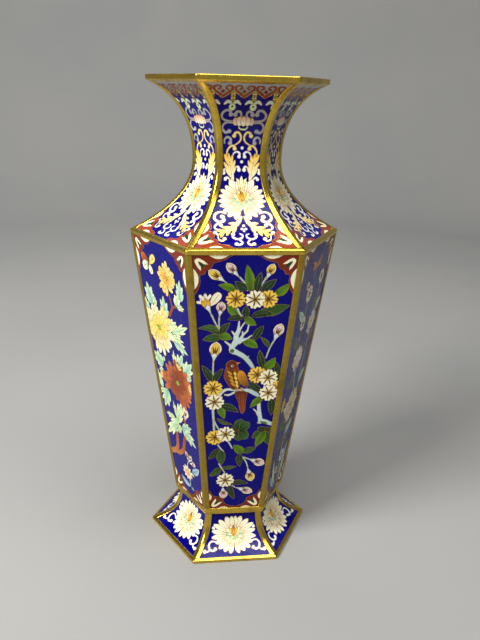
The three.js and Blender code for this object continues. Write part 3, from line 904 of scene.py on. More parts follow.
def neck_low_corner(d):
    """The brick bracket in the neck's lower right corner."""
    low = d.low
    scallops = [
        smooth([6 + 1j * (low - 0.4), 9 + 4.7j, 13 + 5.5j, 15 + 6.6j]),
        smooth([15.1 + 7j, 15 + 8.6j, 17.2 + 9.8j]),
        smooth([17 + 10.2j, 16.6 + 12.4j, 17.6 + 14.4j, 19.2 + 15j]),
        smooth([18.8 + 15.8j, 17.9 + 18.2j, 18.4 + 20.8j, d.edge(23) + 23j]),
    ]
    outer = [d.edge(s) + 0.5 + 1j * s for s in np.linspace(23, low - 0.4, 12)]
    d.cell(np.r_[tuple(scallops)].tolist() + outer, flat(BRICK))
    side = [d.edge(s) + 1j * s for s in np.linspace(12.8, 20.8, 9)]
    inner = [point - 2.1 * math.sin(math.pi * t) for point, t in zip(side, np.linspace(0, 1, 9))]
    d.cell(side + inner[-2:0:-1], flat(CREAM))
    drop(d, 20.5 + 1j * low, 12 + 1j * low, 0.2)
    arrowhead(d, 26 + 6.4j, 17 + 8j, 19.8 + 12.8j)


def neck_drawing():
    """Lotus, leaves and scrolls up the neck, under a collar of cloud heads."""
    low, high = SHOULDER_FLANGE + JOINT, neck_wall.length - LIP_FLANGE - JOINT
    d = Drawing(neck_wall, low, high, flat(COBALT), 1.6)
    d.pair(neck_low_corner)
    d.pair(neck_scrolls)
    d.pair(spreading_leaf)
    beads(d, (19j, 57.2j, 64.8j), 0.95, WHITE)
    trefoil = [ring(x + 16.7j, 0.9, steps=8) for x in (-1.1, 1.1)]
    d.cells([*trefoil, lobe(16.8j, 14.4j, 1.3, EGG)], flat(WHITE))
    d.pair(upright_leaf)
    petals = []
    for degrees, reach, width in (
        (62, 14.2, 4.8), (-14, 13.2, 3.6), (14, 13.4, 3.6), (-50, 13, 4), (44, 13, 3.8), (-32, 13.2, 3.8),
        (0, 13.8, 3.2), (29, 13.8, 3.4), (-70, 12.6, 3.8), (76, 12, 3.2),
    ):
        petals += [(degrees, reach, width), (180 - degrees, reach, width)]
    lotus(d, 35j, 1.0, petals)
    for side in (-1, 1):
        petal, _ = blade(40j, side * 3 + 48.4j, 2.6, 0.6, 0.8, side * 0.8)
        d.cell(petal, along(40j, 48j, PALE_YELLOW, CREAM), 0.24)
    d.cell(lobe(40.6j, 49.8j, 2.6, POINTED), along(40j, 49j, PALE_YELLOW, CREAM), 0.24)
    lotus_bud(d, 79.3j)
    ruyi_band(d, 93.6, 11.3, -1.1)
    for x in (-18.05, -6.75, 4.55, 15.85):
        pendant(d, x + 88.2j)
    return d


def foot_scrolls(d):
    scroll(d, 20.4 + 6.4j, 18.4 + 6.3j, 16.6 + 7.8j, bead=1.3)
    scroll(d, 13 + 7.8j, 14.8 + 6.7j, 17 + 8j, 17.3 + 10.8j, 15.4 + 12.8j, 12.6 + 12.4j, width=1.4)
    scroll(d, 13.8 + 21.4j, 12.6 + 22.8j, 10.6 + 22.4j, 9.8 + 20.6j)


def foot_drawing():
    """A single lotus with scrolls on each face of the foot."""
    low, high = FOOT_FLANGE + JOINT, foot_wall.length - JOINT
    d = Drawing(foot_wall, low, high, flat(COBALT), 1.5)
    d.pair(foot_scrolls)
    petals = []
    for degrees, reach, width in (
        (68, 13.6, 4.6), (-20, 13.4, 4), (12, 15, 3.8), (-56, 12.4, 4.2), (46, 14.4, 4.2), (-38, 13.4, 4),
        (-4, 15, 3.6), (29, 15.4, 3.8), (-76, 12, 3.8), (84, 13, 3.4),
    ):
        petals += [(degrees, reach, width), (180 - degrees, reach, width)]
    lotus(d, 16.2j, 1.02, petals)
    return d


def ragged_leaf(d, base, tip, width, kind="mint"):
    """A peony leaf: a middle lobe and two pairs of side lobes that point forwards."""
    axis = tip - base
    side = 0.5j * axis / abs(axis) * width
    lobes = [(base, tip, 0.56)]
    for way in (-1, 1):
        lobes.append((base + axis * 0.26, base + axis * 0.78 + way * side * 0.92, 0.4))
        lobes.append((base + axis * 0.04, base + axis * 0.46 + way * side * 1.08, 0.4))
    d.cells([blade(root, end, width * share, 0.6, 0.75)[0] for root, end, share in lobes],
            leaf_paint(base, tip, width, kind))
    for root, end, _ in lobes:
        d.wire([root + (end - root) * 0.3, root + (end - root) * 0.8], 0.18)


def peony(d, centre, radius, outer, inner, heart, squash=1.0, turn=0.0, petals=7):
    """A full flower: rings of broad notched petals, each ring smaller than the one under it."""
    for number, reach in enumerate((1, 0.76, 0.54, 0.33)):
        count = petals - number
        spread = 3.3 / count
        for i in range(count):
            angle = turn + math.tau * (i + 0.37 * number + 0.16 * math.sin(5 * i + number)) / count
            length = radius * reach * (1 + 0.13 * math.sin(2.7 * i + number))
            way = complex(math.cos(angle), squash * math.sin(angle))
            petal = fan(centre + 0.06 * radius * way, centre + length * way, spread, 2 + (i + number) % 2)
            shade = inner if number > 1 or (i + number) % 3 == 1 else outer
            core = heart if number > 1 else inner * 0.8
            d.cell(petal, round_from(centre, length, core, shade, 2.6), 0.24)
            for swing in (-0.3, 0.25):
                fold = np.exp(1j * swing * spread)
                d.wire([centre + 0.5 * length * way * fold, centre + 0.8 * length * way * fold], 0.18)
    d.cell(ring(centre, 0.1 * radius, steps=9), flat(GREEN_LIGHT), 0.18)


def butterfly(d, body, size):
    """A butterfly seen from above, its wings spread."""
    for tip, width, root, shade, far in (
        (-8.4 + 4.4j, 6.6, 0.6, BROWN, ORANGE), (8.4 + 6.2j, 5.2, 0.7, YELLOW, PALE_YELLOW),
        (-7.8 - 3.6j, 6.4, 0.6, JADE, CREAM), (3 - 6.4j, 4.6, 0.6, MINT, CREAM),
    ):
        wing, rib = blade(body, body + tip * size, width * size, root, 0.4)
        d.cell(wing, along(body, body + tip * size, shade, far))
        d.wire(rib[2:-2], 0.2)
        d.cell(ring(body + tip * size * 0.68, 0.9 * size, steps=9), flat(far * 0.6), 0.2)
    d.cell(limb([body + (-1.6 - 3j) * size, body, body + (1.2 + 2.6j) * size], 0.8, 1.5, 1.1), flat(BROWN))
    for feeler in (3.6 + 6.4j, 1.4 + 7j):
        d.wire([body + (1.2 + 2.6j) * size, body + feeler * size], 0.24)


def brown_stem(d, *lines):
    """Woody stems, red-brown with a paler underside."""
    limbs = [limb(points, *widths) for points, widths in lines]
    d.cells(limbs, along(-12 + 30j, 2 + 50j, colour(186, 116, 62), RUST))


def daisy(d, centre, radius):
    """A small flower of ten pointed petals round a yellow heart."""
    for i in range(10):
        way = np.exp(1j * (0.2 + math.tau * i / 10))
        d.cell(lobe(centre + 0.15 * radius * way, centre + radius * way, 0.42 * radius, POINTED),
               along(centre, centre + radius * way, PEACH, CREAM), 0.22)
    d.cell(ring(centre, 0.24 * radius, steps=10), flat(YELLOW), 0.24)


def yellow_peony(d):
    """The butterfly, and the small yellow peony on its forked stem."""
    butterfly(d, -14.4 + 172j, 1.0)
    brown_stem(d, ((6.4 + 157j, 7.6 + 152.6j, 8.4 + 149j), (1, 1.3, 1.6)),
               ((13.6 + 151.8j, 8.6 + 149.2j, 4 + 143j), (1.3, 1.7, 2)))
    each(ragged_leaf, d, (18.6 + 156j, 20.4 + 170j, 7.4, "jade"),
         (13.6 + 151.6j, 16.8 + 160.4j, 6.8, "mint"), (14 + 151.4j, 22.6 + 152.6j, 3.6, "mint"))
    peony(d, 5.2 + 167j, 11.2, YELLOW, PALE_YELLOW, AMBER, 0.92, 0.35, 5)


def cream_peony(d):
    """The cream peony over its leaves."""
    each(ragged_leaf, d, (-2.2 + 139j, -1.6 + 154.4j, 9, "jade"),
         (-17 + 144j, -21 + 158.6j, 10.4, "jade"), (-14 + 144.6j, -12 + 150.4j, 4.4, "mint"),
         (-22.4 + 138j, -30 + 146.6j, 7.6, "jade"), (1 + 133j, 10.6 + 140.6j, 7.4, "mint"),
         (4 + 131j, 23.8 + 141.4j, 6.4, "mint"), (4 + 127.6j, 20.6 + 122j, 7.4, "jade"),
         (3 + 128.6j, 17.4 + 129.4j, 4.8, "mint"))
    peony(d, -12 + 130j, 19, CREAM, PALE_YELLOW, YELLOW, 0.96, 0.1)


def red_peony(d):
    """The red peony on its woody stems, over the leaves round it and under it."""
    each(ragged_leaf, d, (4.6 + 103.6j, 13.6 + 120j, 9.4, "jade"), (3.8 + 104j, 2.4 + 119.4j, 5, "mint"),
         (12.4 + 104.6j, 23.6 + 117.4j, 9, "jade"), (15 + 104j, 21.4 + 105.4j, 3.4, "mint"),
         (-13.6 + 102j, -24.4 + 109.2j, 9.6, "jade"), (-12.6 + 106j, -10.6 + 109.6j, 3, "mint"),
         (-14.4 + 99j, -20.4 + 96.4j, 3.4, "mint"), (-18.6 + 82.4j, -23.4 + 97j, 5.4, "mint"),
         (-12 + 85j, -19 + 68.6j, 9.4, "jade"), (-15 + 82.4j, -25 + 79.2j, 4.2, "mint"))
    brown_stem(d, ((-25.6 + 29.6j, -19.6 + 32.4j, -13.4 + 35.4j, -8.8 + 41j, -7.4 + 52j),
                   (4.6, 4.2, 4, 3.6, 3)),
               ((-13 + 35.2j, -6.6 + 37j, -1 + 42.6j, 1.4 + 50j, 4.4 + 56.6j), (3.4, 3.6, 3.2, 2.8, 2.2)),
               ((5 + 70j, 6.4 + 66j), (2, 2.2)))
    each(ragged_leaf, d, (-4 + 62j, 4.6 + 82.4j, 7.6, "mint"), (-6 + 64j, -18.8 + 64j, 4.6, "mint"),
         (-3 + 65j, -7 + 78.6j, 4, "mint"), (-2.6 + 65.4j, -20.4 + 46.4j, 8.4, "mint"),
         (-3 + 60.6j, -9.4 + 52.6j, 4.4, "jade"), (-1 + 62j, -3.6 + 54j, 4, "mint"),
         (0.6 + 62j, 16.6 + 52.4j, 8.6, "jade"), (1.6 + 61j, 13.4 + 66j, 6.4, "jade"),
         (1.6 + 60j, 9.2 + 52.6j, 4.6, "jade"))
    bud(d, 9.2 + 80.4j, 5.8 + 67.4j, 7, CREAM, RUST)
    peony(d, 3 + 95.6j, 18.4, colour(206, 112, 54), RUST, MAROON, 0.9, 0.6)
    for centre, turn in ((-14.6 + 93j, 2.9), (14.4 + 97j, 0.1), (5.6 + 105.6j, 1.2)):
        way = np.exp(1j * turn)
        for swing in (-0.5, 0, 0.5):
            tip = centre + 5.2 * way * np.exp(1j * swing)
            d.cell(lobe(centre, tip, 2.6, HEART), along(centre, tip, AMBER, PALE_YELLOW), 0.22)


def daisy_sprig(d):
    """A small daisy with buds and blue leaves at the foot of the panel."""
    stem(d, 1.2 + 30j, 2.6 + 33.4j, 4 + 35.6j, width=0.9)
    stem(d, 2.8 + 15j, 2.4 + 18j, 1.4 + 21j, width=0.9)
    each(bud, d, (1.4 + 42.6j, 4.2 + 34.8j, 3.8, PEACH, CREAM),
         (8.2 + 41.8j, 4.6 + 34.6j, 3.8, PINK, CREAM), (12.6 + 36.8j, 4.8 + 34.2j, 3.8, PINK, CREAM))
    each(leaf, d, (7 + 27.4j, 16.8 + 35.6j, 5.4, "blue", -0.5), (5 + 26.4j, 9.4 + 25j, 2.4, "mint"),
         (3 + 13.6j, -9 + 17.4j, 4.6, "blue", 1.6), (3.4 + 13.4j, 6.6 + 11.6j, 2.2, "blue"))
    daisy(d, 0.6 + 24.4j, 6.2)


def peony_panel():
    """Two great peonies and a smaller one on woody stems, with a butterfly above."""
    d = body_drawing("peony")
    body_corners(d)
    yellow_peony(d)
    cream_peony(d)
    red_peony(d)
    daisy_sprig(d)
    return d


def water_lily(d, centre, size):
    """A lotus seen from the side: pale petals round a seed head."""
    for x, y, width in ((-7.6, 1, 4.2), (7.6, 1, 4.2), (-6.6, 4.8, 4.6), (6.6, 4.8, 4.6), (-4, 7.8, 5),
                        (4, 7.8, 5), (0, 9.2, 5)):
        tip = centre + complex(x, y) * size
        petal = lobe(centre - 2.2j * size, tip, width * size, POINTED)
        d.cell(petal, along(centre, tip, PINK, CREAM), 0.24)
        d.wire([centre, centre + complex(x, y) * size * 0.7], 0.18)
    for x, y in ((-4.6, -1.6), (4.6, -1.6), (0, 3.8), (-2.6, 1.6), (2.6, 1.6)):
        tip = centre + complex(x, y) * size
        petal = lobe(centre - 4.4j * size, tip, 4.6 * size, POINTED)
        d.cell(petal, along(centre - 4j, tip, PEACH, WHITE), 0.24)


def dragonfly(d, head, size):
    """A dragonfly seen from above, its tail barred."""
    for tip, width in ((-8 + 3.4j, 2.4), (-7.4 - 0.6j, 2.2), (8 + 4.4j, 2.4), (7.4 + 0.4j, 2.2)):
        wing, rib = blade(head - 1.2j, head - 1.2j + tip * size, width * size, 0.6, 0.5)
        d.cell(wing, along(head, head + tip * size, AMBER, ORANGE), 0.22)
        d.wire(rib[2:-2], 0.18)
    d.cell(limb([head, head - 3j * size, head + (0.8 - 9j) * size], 2.2, 1.5, 0.8), flat(ORANGE))
    for bar in range(4):
        spot = head - (3.4 + 1.3 * bar) * 1j * size
        d.wire([spot - 0.5, spot + 0.7], 0.22)
    d.cell(ring(head + 0.6j, 1.2 * size, steps=10), flat(RUST))


def pond_stems(d):
    """The dragonfly, and the long stems with their leaves."""
    dragonfly(d, 0.6 + 174.6j, 1.1)
    stem(d, 3 + 20j, 1 + 44j, 3 + 74j, -1 + 98j, -2 + 106j, width=1.5, shade=JADE)
    stem(d, 2 + 60j, 9 + 84j, 12 + 108j, 12.6 + 126j, width=1.2, shade=JADE)
    stem(d, 0 + 92j, -7 + 112j, -7.4 + 130j, -4.6 + 150j, width=1.1, shade=JADE)
    stem(d, 12 + 118j, 16 + 138j, 16.8 + 158j, width=1.0, shade=JADE)
    for base, tip, width, kind in (
        (-6.6 + 122j, -19.6 + 132j, 6.4, "mid"), (-6.8 + 128j, 2 + 141j, 5.6, "dark"),
        (-6 + 140j, -19 + 149j, 5.6, "jade"), (13 + 118j, 24 + 124j, 6, "mid"),
        (12.4 + 112j, 3 + 120j, 5.6, "dark"), (16 + 140j, 25 + 147j, 5.4, "jade"),
        (15.8 + 142j, 7 + 151j, 5.4, "mid"), (9.6 + 88j, 21 + 96j, 6, "jade"),
        (-1 + 97j, -16 + 96j, 7.4, "mid"), (9 + 84j, 18.6 + 79j, 5.2, "dark"),
    ):
        leaf(d, base, tip, width, kind, 0.6)


def pond_blossoms(d):
    """The small blossoms, the bud and the grey peony on the upper stems."""
    each(blossom, d, (-4.4 + 156.4j, 5.6, CREAM, 7, 0.3, PALE_YELLOW),
         (-6.6 + 137.2j, 4.8, WHITE, 7, 0.5, PINK), (16.8 + 162.6j, 4.8, CREAM, 7, 0.1, PALE_YELLOW))
    bud(d, -12.8 + 165.8j, -6.4 + 157.6j, 4.8, PINK)
    peony(d, 12.6 + 132.6j, 9, GREY, WHITE, PALE_YELLOW, 0.9, 0.3, 5)


def pond_flowers(d):
    """The water lily, and the pale peony over its ragged leaves."""
    water_lily(d, -3 + 110j, 1.25)
    each(ragged_leaf, d, (2.6 + 60j, -15 + 66j, 7.6, "mid"), (2 + 52j, 14.6 + 60j, 6.4, "jade"),
         (1.4 + 48j, -13 + 48j, 7, "dark"), (2 + 44j, 12 + 49j, 5.4, "mid"))
    peony(d, 2 + 75j, 12.6, CREAM, PALE_YELLOW, PINK, 0.95, 0.2)


def pond_margin(d):
    """A moth beside the peony, and tall blades with a blossom among them at the bottom."""
    for tip in (-16.6 + 87j, -18.4 + 83j, -17.6 + 78.6j):
        d.cell(lobe(-11.6 + 82j, tip, 4, HEART), along(-11 + 82j, tip, AMBER, YELLOW), 0.24)
    for base, tip, width, bend, kind in (
        (2 + 10j, 12.8 + 42j, 3.8, -2.5, "jade"), (1 + 10j, -10.6 + 38j, 3.8, 2.5, "jade"),
        (3 + 10j, 7.8 + 44j, 3.4, -1, "mid"), (0 + 10j, -5.6 + 45j, 3.4, 1, "mid"),
        (3.6 + 9j, 14.4 + 27j, 3.4, -1.6, "blue"), (0 + 9j, -13 + 26j, 3.4, 1.6, "blue"),
    ):
        leaf(d, base, tip, width, kind, bend)
    blossom(d, 4.6 + 33j, 4.8, WHITE, 6, 0.2, PINK)
    bud(d, -4.2 + 27.6j, 0.2 + 19.4j, 4.4, PINK)


def pond_panel():
    """Water lilies and peonies over tall leaves, with a dragonfly above."""
    d = body_drawing("pond")
    body_corners(d)
    pond_stems(d)
    pond_blossoms(d)
    pond_flowers(d)
    pond_margin(d)
    return d


# ---------------------------------------------------------------- meshes

def make_object(name, points, polygons, *materials):
    """An object from points in metres and arrays of polygons, each array with its own corner count."""
    mesh = bpy.data.meshes.new(name)
    sizes = np.concatenate([np.full(len(group), group.shape[1]) for group in polygons])
    corners = np.concatenate([group.ravel() for group in polygons])
    mesh.vertices.add(len(points))
    mesh.vertices.foreach_set("co", points.astype(np.float32).ravel())
    mesh.loops.add(len(corners))
    mesh.loops.foreach_set("vertex_index", corners.astype(np.int32))
    mesh.polygons.add(len(sizes))
    mesh.polygons.foreach_set("loop_start", np.r_[0, np.cumsum(sizes)[:-1]].astype(np.int32))
    mesh.update(calc_edges=True)
    for material in materials:
        mesh.materials.append(material)
    piece = bpy.data.objects.new(name, mesh)
    bpy.context.scene.collection.objects.link(piece)
    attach(piece, "root")
    return piece


def edge_keys(pairs, count):
    """One number for each edge, whichever way round its two points come."""
    pairs = np.sort(pairs, axis=1)
    return pairs[:, 0] * count + pairs[:, 1]


def border_loop(border):
    """The numbers of the points round a panel's edge, in order."""
    after = dict(border.tolist())
    loop = [int(border[0, 0])]
    while after[loop[-1]] != loop[0]:
        loop.append(after[loop[-1]])
    return np.array(loop)


def sharpen(mesh, patch, count):
    """Marks the edges where a wire meets the enamel, and those round the panel, as sharp."""
    edges = np.empty(2 * len(mesh.edges), np.int32)
    mesh.edges.foreach_get("vertices", edges)
    keys = edge_keys(edges.reshape(-1, 2).astype(np.int64), count)
    wires, enamels = (edge_keys(triangle_edges(patch["faces"][member]), count)
                      for member in (patch["wire"], ~patch["wire"]))
    sharp = np.isin(keys, np.intersect1d(wires, enamels)) | np.isin(keys, edge_keys(patch["border"], count))
    mesh.attributes.new("sharp_edge", "BOOLEAN", "EDGE").data.foreach_set("value", sharp)


def panel(name, patch, wall, face, *materials):
    """A thin slab of enamel on a face, with the arranged drawing on its front."""
    z, faces, rows = patch["points"], patch["faces"], patch["rows"]
    front = wall.place(face, z.real, z.imag, np.where(patch["raised"], ENAMEL_DEPTH - CROWN, ENAMEL_DEPTH))
    loop = border_loop(patch["border"])
    rim = z[loop]
    back_half, front_half = (wall.half_width(rim.imag, depth) - CORNER_FLANGE
                             for depth in (ENAMEL_BACK, ENAMEL_DEPTH))
    back = wall.place(face, rim.real * (back_half / front_half), rim.imag, ENAMEL_BACK)
    behind = len(z) + np.arange(len(loop))
    sides = np.stack([loop, behind, np.roll(behind, -1), np.roll(loop, -1)], 1)
    bands = []
    for low, high in zip(rows[:-1], rows[1:]):
        member = (rim.imag > low - MERGE_REACH) & (rim.imag < high + MERGE_REACH)
        bands.append(behind[member][::-1][None])
    piece = make_object(name, np.vstack([front, back]), [faces, sides, *bands], *materials)
    mesh = piece.data
    unseen = np.zeros(len(sides) + len(bands))
    mesh.polygons.foreach_set("material_index", np.r_[patch["wire"], unseen].astype(np.int32))
    mesh.polygons.foreach_set("use_smooth", np.r_[np.ones(len(faces)), unseen].astype(bool))
    sharpen(mesh, patch, len(z) + len(loop))
    paint = mesh.color_attributes.new("paint", "FLOAT_COLOR", "CORNER")
    shades = np.ones((len(mesh.loops), 4), np.float32)
    shades[:, :3] = COBALT
    shades[:3 * len(faces), :3] = patch["shades"].reshape(-1, 3)
    paint.data.foreach_set("color", shades.ravel())
    return piece


def grid_faces(rows, columns, closed_rows, closed_columns):
    """Quads over a grid of points numbered row by row."""
    i = np.arange(rows if closed_rows else rows - 1)[:, None]
    j = np.arange(columns if closed_columns else columns - 1)[None, :]
    below, above = i * columns, (i + 1) % rows * columns
    right = (j + 1) % columns
    return np.stack([below + j, below + right, above + right, above + j], -1).reshape(-1, 4)


def waves(count, size, seed):
    """Gentle unevenness, from 0 to size, along a run of points."""
    random = np.random.default_rng(seed)
    t = np.linspace(0, 1, count, endpoint=False)
    total = sum(math.pow(0.7, k) * np.sin(math.tau * (k * t + random.random())) for k in range(1, 12))
    return size * (total - total.min()) / np.ptp(total)


def corner_strip(name, wall, low, high, corner, steps, material, seed):
    """A brass strip bent over a corner, with a round ridge and softened flange edges."""
    stations = np.linspace(low, high, steps)
    uneven = waves(steps, STRIP_UNEVENNESS, seed)
    ridge, soft = 1.1, 0.35
    flange_side = [(CORNER_FLANGE, BRASS_DEPTH), (CORNER_FLANGE, BRASS_DEPTH / 2)]
    flange_side += [(CORNER_FLANGE - soft * (1 - math.cos(a)), soft * (1 - math.sin(a)))
                    for a in np.linspace(0, math.pi / 2, 5)]
    flange_side += [(CORNER_FLANGE * 0.55, 0.0)]

    def on_face(side, distance, depth):
        face, height = wall.section(stations, depth + uneven)
        away = distance * complex(-math.sin(TURN / 2), side * math.cos(TURN / 2))
        return face / FACE_OVER_CORNER + away, height

    section = [on_face(-1, *spot) for spot in flange_side]
    face, height = wall.section(stations, uneven)
    for angle in np.linspace(-TURN / 2, TURN / 2, 7):
        section.append(((face - ridge) / FACE_OVER_CORNER + ridge * np.exp(1j * angle), height))
    section += [on_face(1, *spot) for spot in flange_side[::-1]]
    section.append(on_face(1, 0.0, BRASS_DEPTH))
    plan = np.array([p for p, _ in section]).T
    heights = np.array([h for _, h in section]).T
    plan = plan * np.exp(1j * (corner * TURN - TURN))
    points = np.stack([plan.real, plan.imag, heights], -1).reshape(-1, 3) * MM
    columns = len(section)
    quads = grid_faces(steps, columns, False, True)
    ends = [np.arange(columns)[::-1][None], (steps - 1) * columns + np.arange(columns)[None]]
    piece = make_object(name, points, [quads, *ends], material)
    shade_by_angle(piece, STRIP_SHARP_ANGLE)
    return piece


def shade_by_angle(piece, degrees):
    """Smooth shading, with sharp edges where two faces meet at more than an angle."""
    mesh = piece.data
    mesh.polygons.foreach_set("use_smooth", np.ones(len(mesh.polygons), bool))
    mesh.set_sharp_from_angle(angle=math.radians(degrees))


def rounded(profile):
    """A closed section of (x, z, radius) corners, with each corner rounded by its radius."""
    spots = np.array([complex(x, z) for x, z, _ in profile])
    result = []
    for spot, before, after, (_, _, radius) in zip(spots, np.roll(spots, 1), np.roll(spots, -1), profile):
        if not radius:
            result.append(spot)
            continue
        back, ahead = (before - spot) / abs(before - spot), (after - spot) / abs(after - spot)
        half = abs(np.angle(ahead / back)) / 2
        centre = spot + (back + ahead) / abs(back + ahead) * radius / math.sin(half)
        start, end = (spot + way * radius / math.tan(half) - centre for way in (back, ahead))
        sweep = np.angle(end / start)
        result += [centre + start * np.exp(1j * sweep * t) for t in np.linspace(0, 1, 6)]
    return np.array(result)


def hex_ring(name, section, corner_radius, material, side_steps=24, uneven=0.0, seed=1, closed=True):
    """A six-sided ring: a section carried round the axis, with its corners rounded in plan."""
    across, heights = section.real, section.imag
    flats = np.linspace(-1, 1, side_steps + 1)
    swing = np.linspace(-TURN / 2, TURN / 2, 7)[1:-1]
    plan = []
    for face in range(SIDES):
        normal = np.exp(1j * (face * TURN - math.pi / 2))
        reach = (across - corner_radius) * HALF_WIDTH_OVER_FACE
        plan += [(across + 1j * reach * share) * normal for share in flats]
        corner = normal * np.exp(1j * TURN / 2)
        centre = (across - corner_radius) / FACE_OVER_CORNER
        plan += [(centre + corner_radius * np.exp(1j * angle)) * corner for angle in swing]
    plan = np.array(plan)
    plan = plan - plan / abs(plan) * waves(len(plan), uneven, seed)[:, None]
    tall = np.broadcast_to(heights, plan.shape)
    points = np.stack([plan.real, plan.imag, tall], -1).reshape(-1, 3) * MM
    quads = grid_faces(len(plan), len(section), True, closed)
    ends = []
    if not closed:
        count = len(section)
        ends = [np.arange(len(plan))[None] * count, (np.arange(len(plan))[::-1] * count + count - 1)[None]]
    piece = make_object(name, points, [quads[:, ::-1], *ends], material)
    shade_by_angle(piece, RING_SHARP_ANGLE)
    return piece


# ---------------------------------------------------------------- materials

class Shader:
    """A material's node tree, built up one node at a time."""

    def __init__(self, name):
        self.material = bpy.data.materials.new(name)
        self.material.use_nodes = True
        self.tree = self.material.node_tree
        self.surface = self.tree.nodes["Principled BSDF"]

    def node(self, kind, values=None, **settings):
        """A new node with its settings, and the values or links of its sockets."""
        made = self.tree.nodes.new("ShaderNode" + kind)
        for key, value in settings.items():
            setattr(made, key, value)
        for key, value in (values or {}).items():
            self.put(made.inputs[key], value)
        return made

    def put(self, socket, value):
        """Links a socket to another node's, or sets its constant value."""
        if isinstance(value, bpy.types.NodeSocket):
            self.tree.links.new(value, socket)
        elif isinstance(value, np.ndarray):
            socket.default_value = (*value, 1)
        else:
            socket.default_value = value

    def set(self, **values):
        """Sets the surface's own sockets, and gives the finished material."""
        for key, value in values.items():
            self.put(self.surface.inputs[key.replace("_", " ")], value)
        return self.material

    def place(self, stretch=(1, 1, 1)):
        """The place in space that a texture is taken from, in metres."""
        spot = self.node("NewGeometry").outputs["Position"]
        return self.node("VectorMath", {0: spot, 1: stretch}, operation="MULTIPLY").outputs[0]

    def noise(self, scale, detail=3.0, rough=0.5, stretch=(1, 1, 1)):
        values = {"Vector": self.place(stretch), "Scale": scale, "Detail": detail, "Roughness": rough}
        return self.node("TexNoise", values).outputs["Fac"]

    def cells(self, scale):
        values = {"Vector": self.place(), "Scale": scale}
        return self.node("TexVoronoi", values).outputs["Distance"]

    def steps(self, value, low, high, start=0.0, end=1.0):
        """Goes smoothly from start to end while the value goes from low to high."""
        values = {0: value, 1: low, 2: high, 3: start, 4: end}
        return self.node("MapRange", values, interpolation_type="SMOOTHSTEP").outputs[0]

    def mix(self, share, first, second):
        made = self.node("Mix", data_type="RGBA")
        for index, value in ((0, share), (6, first), (7, second)):
            self.put(made.inputs[index], value)
        return made.outputs[2]

    def math(self, operation, *values):
        return self.node("Math", dict(enumerate(values)), operation=operation).outputs[0]

    def bump(self, height, distance, strength=1.0, under=None):
        """Raises the surface by a height, on top of another bump if there is one under it."""
        values = {"Height": height, "Distance": distance, "Strength": strength}
        if under is not None:
            values["Normal"] = under
        return self.node("Bump", values).outputs["Normal"]


def enamel(name, painted_sheen=0.0):
    """Glossy fired enamel: the painted colour, cloudy and pitted, with patches of painted sheen, over a
    slightly wavy surface.
    """
    shader = Shader(name)
    paint = shader.node("Attribute", attribute_name="paint").outputs["Color"]
    cloudy = shader.steps(shader.noise(700, 4), 0.3, 0.75, 0.88, 1.04)
    tinted = shader.node("Mix", {0: 1.0}, data_type="RGBA", blend_type="MULTIPLY")
    grey = shader.node("CombineColor", {0: cloudy, 1: cloudy, 2: cloudy}).outputs[0]
    shader.put(tinted.inputs[6], paint)
    shader.put(tinted.inputs[7], grey)
    pits = shader.steps(shader.cells(1400), 0.1, 0.2)
    rare = shader.steps(shader.noise(300, 2), 0.56, 0.62)
    pitted = shader.math("MULTIPLY", shader.math("SUBTRACT", 1.0, pits), rare)
    # Painted sheen: pale blue patches mixed into the colour stand for the hazy reflection of light on the
    # glossy enamel.
    sheen_patches = shader.steps(shader.noise(70, 5, 0.6, (1, 1, 0.5)), 0.48, 0.75, 0.0, painted_sheen)
    with_painted_sheen = shader.mix(sheen_patches, tinted.outputs[2], colour(96, 100, 206))
    stained = shader.mix(shader.math("MULTIPLY", pitted, 0.7), with_painted_sheen, colour(40, 34, 40))
    rough = shader.steps(shader.noise(160, 4), 0.35, 0.7, 0.14, 0.3)
    wavy = shader.bump(shader.noise(95, 2), 0.0005, 0.12)
    normal = shader.bump(shader.math("MULTIPLY", pitted, -1.0), 0.0001, 0.5, wavy)
    return shader.set(Base_Color=stained, Roughness=rough, Normal=normal, Specular_IOR_Level=0.13)


def gilt_wire():
    """Polished gilt wire, browner where it is worn."""
    shader = Shader("gilt_wire")
    worn = shader.steps(shader.noise(500, 3), 0.4, 0.65)
    shade = shader.mix(worn, colour(190, 148, 66), colour(128, 92, 38))
    return shader.set(Base_Color=shade, Metallic=1.0, Roughness=shader.steps(worn, 0, 1, 0.24, 0.42))


def gilt_brass(name, painted_shade=0.0):
    """Worn gilding: warm metal, brown and tarnished in patches, with fine rubbed scratches; the second
    value darkens the whole copy evenly towards the brown, as painted shade.
    """
    shader = Shader(name)
    patches = shader.steps(shader.noise(38, 5, 0.6), 0.5, 0.74)
    fine = shader.steps(shader.noise(420, 5, 0.55), 0.3, 0.75)
    clean = shader.mix(fine, colour(218, 187, 76), colour(198, 164, 62))
    # The brown share: the tarnished patches plus the even darkening, which is painted shade.
    tarnish_and_shade = shader.math("MULTIPLY_ADD", patches, 0.5, painted_shade)
    shade = shader.mix(tarnish_and_shade, clean, colour(112, 86, 30))
    rough = shader.math("ADD", shader.steps(fine, 0, 1, 0.24, 0.3), shader.math("MULTIPLY", patches, 0.16))
    scratches = shader.bump(shader.noise(900, 2, 0.5, (1, 1, 0.08)), 0.0001, 0.25)
    dents = shader.bump(shader.noise(120, 2), 0.0004, 0.2, scratches)
    return shader.set(Base_Color=shade, Metallic=1.0, Roughness=rough, Normal=dents)


def counter_enamel(name):
    """The pale blue-green enamel of the inside, speckled where the copper shows."""
    shader = Shader(name)
    cloudy = shader.steps(shader.noise(90, 5), 0.35, 0.65)
    shade = shader.mix(cloudy, colour(52, 138, 152), colour(104, 184, 180))
    specks = shader.steps(shader.noise(900, 3), 0.6, 0.68)
    speckled = shader.mix(shader.math("MULTIPLY", specks, 0.8), shade, colour(28, 62, 72))
    normal = shader.bump(shader.noise(130, 4), 0.0006, 0.35)
    return shader.set(Base_Color=speckled, Roughness=0.28, Normal=normal)


